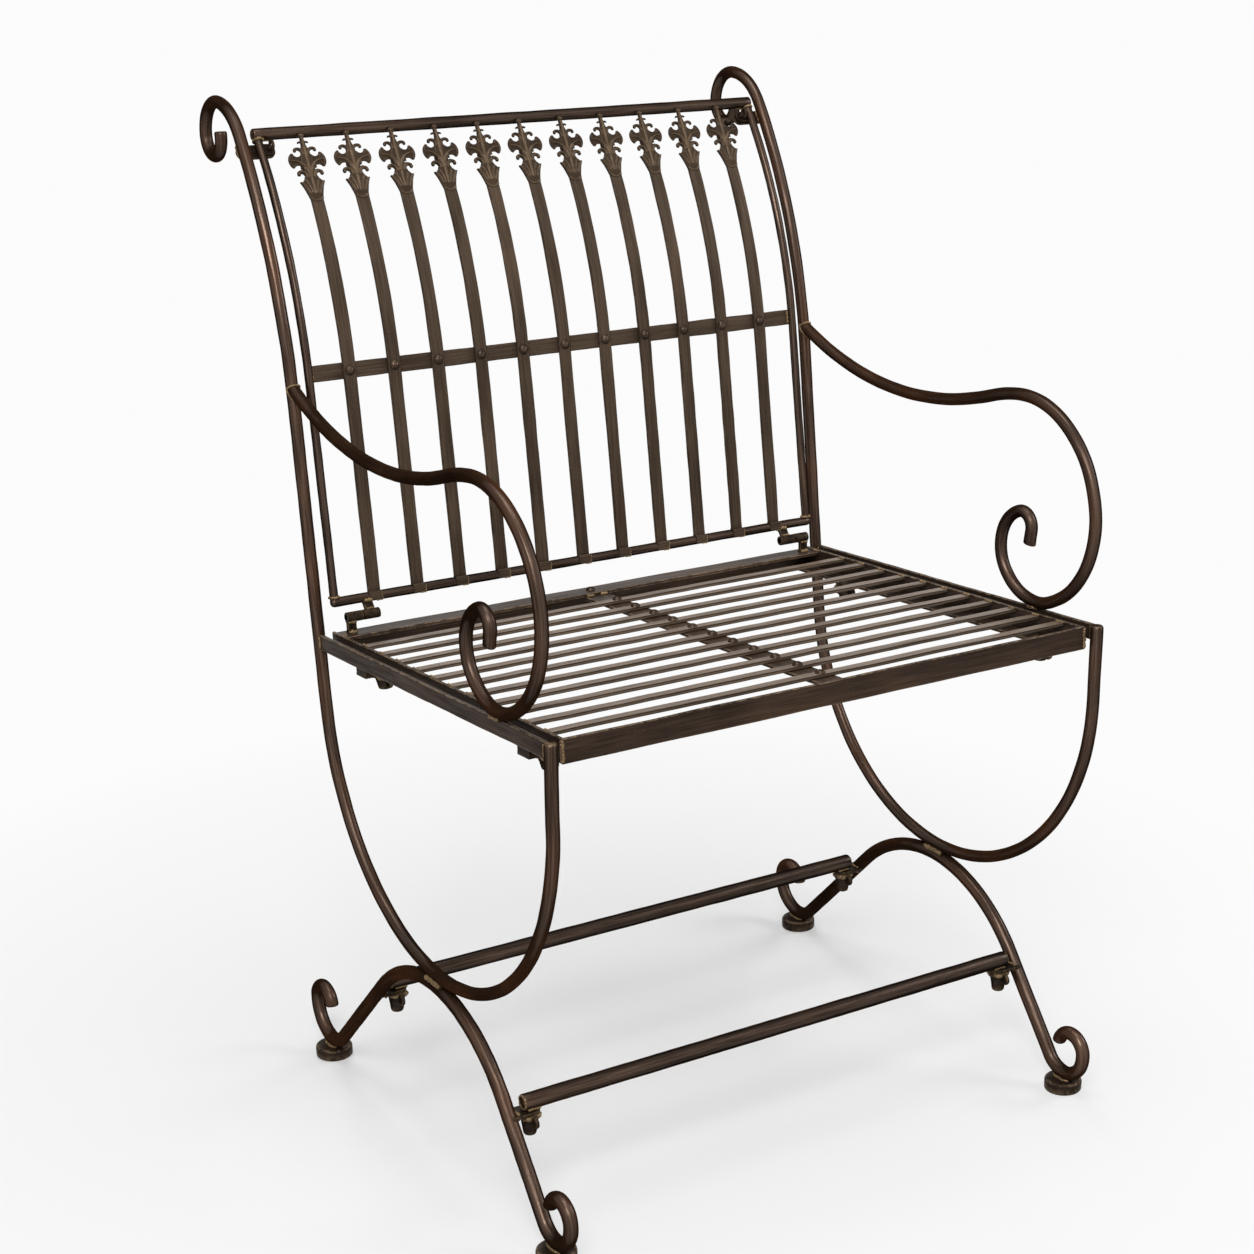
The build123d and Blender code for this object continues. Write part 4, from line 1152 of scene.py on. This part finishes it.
def torus(matrix, major, minor, seed, count=32, sides=12):
    """Ring about Z of a place."""
    turn = np.linspace(0, 2 * pi, count, endpoint=False)[:, None]
    angle = np.linspace(0, 2 * pi, sides, endpoint=False)[None]
    radius = major + minor * np.cos(angle)
    local = np.stack([radius * np.cos(turn), radius * np.sin(turn), minor * np.sin(angle) + 0 * turn], -1)
    local = local.reshape(-1, 3)
    row = np.arange(count)[:, None] * sides
    after = (np.arange(count)[:, None] + 1) % count * sides
    here = np.arange(sides)[None]
    there = (here + 1) % sides
    faces = np.stack([row + here, after + here, after + there, row + there], -1).reshape(-1, 4).tolist()
    return moved(matrix, local), faces, local + 31.0 * seed, np.full(len(local), 0.4)


rings = []
ears = []
tabs = []
ear_line = [(rod_x, -ear_r), (rod_x, ear_top), (rod_x - 4, ear_top), (rod_x - 5, 5.2)]
ear_line = dense(ear_line + [tuple(point) for point in round_end(screw_x, ear_r, 90)])
tab_line = np.concatenate([round_end(screw_x, tab_r, 90), round_end(tab_end - tab_r, tab_r, -90)])
for sign in BOTH:
    half = np.array([sign, 1])
    middle = corner @ place(sign * screw_x, 0, ear_front)
    rings.append(torus(middle @ place(0, 0, 6.5) @ ALONG_X, 3.65, 1.3, 3))
    rings.append(lathe(screw_profile, middle, 250, 16))
    ears.append(plate(ear_line * half, ear_t, corner @ place(0, 0, ear_back + ear_t / 2), 252, 0.5))
    tabs.append(plate(tab_line * half, tab_t, corner @ place(0, 0, tab_front - tab_t / 2), 256, 0.6))
add("ring_screws", rings, "back_panel", "fastener", ["back_ring_screws"])
add("corner_ears", ears, "back_panel", "lug", ["back_ears"])
add("post_tab_plates", tabs, "frame", "lug", ["back_tabs"])

# Weld beads
GROUND = np.eye(4)
frame_beads = []
seat_beads = []
back_beads = []

# Ring where the armrest meets the front of the post
arm_end, heading = arm_line[0][-1], arm_line[1][-1]
ahead = np.array([cos(heading), sin(heading)])
arm_left = np.array([-ahead[1], ahead[0]])
post_front = np.array([-cos(radians(post_lean)), sin(radians(post_lean))])
turn = np.linspace(0, 2 * pi * 1.06, 40)
arm_ring_r = 1.02 * bar_d / 2
depth = np.sqrt(1.0001 - np.sin(turn) ** 2) - np.cos(turn) * (arm_left @ post_front)
reach = (bar_d / 2) * depth / (ahead @ post_front)
arm_ring = arm_end + reach[:, None] * ahead + arm_ring_r * np.cos(turn)[:, None] * arm_left
arm_ring_x = arm_ring_r * np.sin(turn)
disc_profile = [(0, 0), (5.2, 0), (6.0, 0.15), (6.1, 0.4), (0, 0.6)]
disc_wear = [0.3, 0.7, 1, 0.4, 0]
foot_bead = ((1.5, -10), (4.2, -6), (4.9, 0), (4.4, 6), (2.0, 10))


def frame_welds(sign, seed):
    """Beads of a side frame: armrest, U, feet, rail, stretcher lugs and back tab."""
    x = sign * frame_half_width
    frame_beads.append(bead(np.column_stack([x + arm_ring_x, arm_ring]), 1.1, seed))
    for i, side in enumerate(BOTH):
        rest_x = sign * rail_x + side * 2.7
        line = [(rest_x, arm_setback + y, 0.5 + 0.008 * y * y) for y in (-8, -3, 3, 8)]
        frame_beads.append(bead(moved(seat_place, line), 2.0, seed + 1 + i))
        crest = (x + side * 4.5, 0, u_bottom_z - bar_d / 2 + 0.2)
        weld(frame_beads, GROUND, crest, Y, (-9, 0, 9, 18), 2.4, seed + 3 + i)
        for k, y in enumerate(foot_ys):
            line = [(x + side * w, y + d, foot_h + 0.3) for w, d in foot_bead]
            frame_beads.append(bead(line, 1.7, seed + 5 + 2 * k + i))
        face_x = sign * rail_x + side * (rail_t / 2 + 0.3)
        for k, y in enumerate((6.0, rail_length - 6.2)):
            weld(frame_beads, seat_place, (face_x, y, 0), Z, (-1.5, -7, -12.8), 1.2, seed + 9 + 2 * k + i)
        leg_x = sign * (frame_half_width - leg_bar_d / 2 + 0.6)
        for k, (y, leg_z) in enumerate(stretchers.values()):
            root = (leg_x, y, leg_z + side * 2.0)
            weld(frame_beads, GROUND, root, Y, (-8, -2, 3, 8), 1.4, seed + 13 + 2 * k + i)
            under = (sign * stretcher_bolt_x, y + side * 4.6, leg_z + lug_t / 2 + 1.2)
            weld(frame_beads, GROUND, under, (sign, 0, 0), (-9, -3, 4), 1.5, seed + 17 + 2 * k + i)
        tab_root = (x + side * 4.2, 0, tab_front + 0.8)
        weld(frame_beads, corner, tab_root, Y, (-6, 0, 6), 1.2, seed + 445 + i)
    for k, (y, leg_z) in enumerate(stretchers.values()):
        disc = place(sign * (stretcher_half_length - 0.2), y, leg_z + stretcher_rise) @ ALONG_X
        frame_beads.append(lathe(disc_profile, disc, seed + 21 + k, 28, 0.02, disc_wear))


def seat_welds(sign, seed):
    """Beads of one side of the seat: hinge foot, slats, rails and bolts."""
    foot_x = sign * (hinge_x + foot_offset)
    for i, side in enumerate(BOTH):
        foot = (foot_x, side * 2.6, -hinge_rise - 0.4)
        weld(seat_beads, hinge_place, foot, X, (-4.4, 0, 4.4), 2.1, seed + 435 + i)
        weld(seat_beads, hinge_place, (foot_x, side * 2.5, -4.3), X, (-4.2, 0, 4.2), 1.4, seed + 437 + i)
    for i, y in enumerate(slat_ys):
        slat_end = (sign * (inner_x - 0.7), y, -slat_drop + 0.1)
        weld(seat_beads, seat_place, slat_end, Y, (-4.6, 0, 4.6), 1.2, seed + 400 + i)
    front_end = (sign * (seat_half_width - 0.4), seat_front_gap + 0.8, 0)
    weld(seat_beads, seat_place, front_end, Z, (-0.8, -7, -14, -19.2), 1.7, seed + 420)
    flange_end = (sign * (inner_x - 0.8), flange_front_y, -slat_drop + 0.2)
    weld(seat_beads, seat_place, flange_end, Y, (1, 5, 9), 1.3, seed + 421)
    strap_end = (0, flange_front_y - 0.6, slat_bottom + 0.6)
    weld(seat_beads, seat_place, strap_end, (sign, 0, 0), (3, 7, 11), 1.7, seed + 422)
    for i, y in enumerate(seat_bolt_ys):
        bolt = seat_place @ place(sign * seat_bolt_x, y, ledge_top + 0.5)
        ring_weld(seat_beads, bolt, 5.4, 0, 372, 28, 0.9, seed + 425 + i)


def back_welds(sign, seed):
    """Beads of one side of the back panel: hinge lug, rod, strap and ear."""
    back_x = sign * (hinge_x - knuckle_offset)
    for i, side in enumerate(BOTH):
        lug_top = (back_x, side * 2.4, lug_length - 4.0)
        weld(back_beads, lug_place, lug_top, X, (-4.2, 0, 4.2), 1.9, seed + 439 + i)
        weld(back_beads, lug_place, (back_x, side * 2.3, 4.2), X, (-4.0, 0, 4.0), 1.1, seed + 441 + i)
    for i, run in enumerate((panel_run - 5.6, bottom_rail_run + 4.6)):
        point, lean = panel_point(run)
        rod_end = place(sign * rod_x, point[0], point[1], -lean)
        ring_weld(back_beads, rod_end, rod_d / 2 + 0.3, 0, 375, 28, 1.2, seed + 430 + i)
    weld(back_beads, strap_place, (sign * (rod_x - 4.2), 0, -1.6), Y, (-6, 0, 6), 1.2, seed + 433)
    ear_root = (sign * screw_x, corner_drop - 5.0, ear_front + 0.4)
    weld(back_beads, corner, ear_root, (sign, 0, 0), (-4, 1, 5), 1.0, seed + 443)


for sign in BOTH:
    seed = 300 + 40 * (sign > 0)
    frame_welds(sign, seed)
    seat_welds(sign, seed)
    back_welds(sign, seed)

# Pads at the slats' feet
pad_x = 6.1
pad_y = 4.2
pad_cut = 1.0
cut_x = pad_x - pad_cut
cut_y = pad_y - pad_cut
pad_line = [(pad_x, -cut_y), (pad_x, cut_y), (cut_x, pad_y), (-cut_x, pad_y)]
pad_line += [(-x, -y) for x, y in pad_line]
pad_bead = [(pad_x, 3, 0.3), (pad_x - 0.3, -pad_y, 0.4), (0, -pad_y, 0.4)]
slat_base = panel_place(bottom_rail_run + bottom_rail_d / 2)
pads = []
for i, x in enumerate(back_xs):
    weld(back_beads, slat_base, (x, 0.2, -1.9), X, (-5.6, 0, 5.6), 1.1, 920 + i)
    pad = panel_place(bottom_rail_run) @ place(x, 0.8, bottom_rail_d / 2 - 0.6)
    pads.append(plate(dense(pad_line), 2.2, pad, 940 + i, 0.8))
    back_beads.append(bead(moved(pad, pad_bead), 0.7, 960 + i))
add("slat_foot_pads", pads, "back_panel", "back_slat")
add("frame_weld_beads", frame_beads + nut_beads, "frame", "lug", paint="weld")
add("seat_weld_beads", seat_beads, "frame", "lug", paint="weld")
add("back_weld_beads", back_beads, "back_panel", "lug", paint="weld")

# The hinge pins stay as they are, with a finish and a small bevel
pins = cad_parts["hinge_pins"]
for holder in pins.material_slots:
    holder.material = finishes["fastener"]
merge = pins.modifiers.new("weld", "WELD")
merge.merge_threshold = 0.00002
bevel = pins.modifiers.new("bevel", "BEVEL")
bevel.width = 0.0005
bevel.segments = 2
bevel.limit_method = "ANGLE"

# Floor: pale, keeps the shadow, and fades to white away from the chair
WHITE = (1, 1, 1, 1)
SHOWN_WHITE = 0.97
SKY_LIGHT = 0.20
floor_half = 14.0
floor_material = bpy.data.materials.new("studio_floor")
net = Net(floor_material)
spot = net.add("ShaderNodeTexCoord").outputs["Object"]
spot = net.add("ShaderNodeVectorMath", {0: spot, 1: (0.0, 0.14, 0.0)}, operation="SUBTRACT").outputs["Vector"]
away = net.add("ShaderNodeVectorMath", {0: spot}, operation="LENGTH").outputs["Value"]
fade = net.times(net.span(away, 0.22, 0.85, 0.26, 1.0), net.shown_rays())
matt = net.add("ShaderNodeBsdfDiffuse", {"Color": (0.76, 0.76, 0.76, 1)})
white = net.add("ShaderNodeEmission", {"Color": WHITE, "Strength": SHOWN_WHITE})
both = net.add("ShaderNodeMixShader", {0: fade, 1: matt.outputs[0], 2: white.outputs[0]})
net.add("ShaderNodeOutputMaterial", {"Surface": both.outputs[0]})
floor_mesh = bpy.data.meshes.new("floor")
floor_corners = [(x * floor_half, y * floor_half, 0) for x, y in ((-1, -1), (1, -1), (1, 1), (-1, 1))]
floor_mesh.from_pydata(floor_corners, [], [(0, 1, 2, 3)])
floor_mesh.materials.append(floor_material)
floor = linked("floor", floor_mesh)

# Light: a soft sky, shown as white, and four large soft boxes
world = bpy.data.worlds.new("studio")
net = Net(world)
sky = net.add("ShaderNodeBackground", {"Color": WHITE, "Strength": SKY_LIGHT})
shown = net.add("ShaderNodeBackground", {"Color": WHITE, "Strength": SHOWN_WHITE})
both = net.add("ShaderNodeMixShader", {0: net.shown_rays(), 1: sky.outputs[0], 2: shown.outputs[0]})
net.add("ShaderNodeOutputWorld", {"Surface": both.outputs[0]})
bpy.context.scene.world = world
aim = Vector((0, 0, 0.42))
boxes = (
    ("key", (-1.5, -1.9, 2.5), 1.1, 50.0),
    ("fill", (2.3, -0.9, 1.7), 1.0, 30.0),
    ("rear", (0.6, 2.3, 2.2), 1.2, 22.0),
    ("top", (-0.2, 0.1, 3.1), 1.5, 40.0),
)
for name, spot, size, power in boxes:
    lamp = bpy.data.lights.new(name, "AREA")
    lamp.shape = "SQUARE"
    lamp.size = size
    lamp.energy = power
    holder = linked(name, lamp)
    holder.location = spot
    holder.rotation_euler = (aim - Vector(spot)).to_track_quat("-Z", "Y").to_euler()

# Camera at the photograph's angle
camera_data = bpy.data.cameras.new("camera")
camera_data.sensor_width = 36.0
camera_data.lens = 70.43
camera_data.shift_x = -0.0848
camera_data.shift_y = 0.0957
camera = linked("camera", camera_data)
azimuth = radians(-33.17)
elevation = radians(20.28)
back = Vector((sin(azimuth) * cos(elevation), -cos(azimuth) * cos(elevation), sin(elevation)))
camera.location = (-1.0814, (origin_y - 1700.6) * MM, 1.0715)
camera.rotation_mode = "QUATERNION"
camera.rotation_quaternion = (-back).to_track_quat("-Z", "Y")
bpy.context.scene.camera = camera
bpy.context.scene.view_settings.view_transform = "Standard"
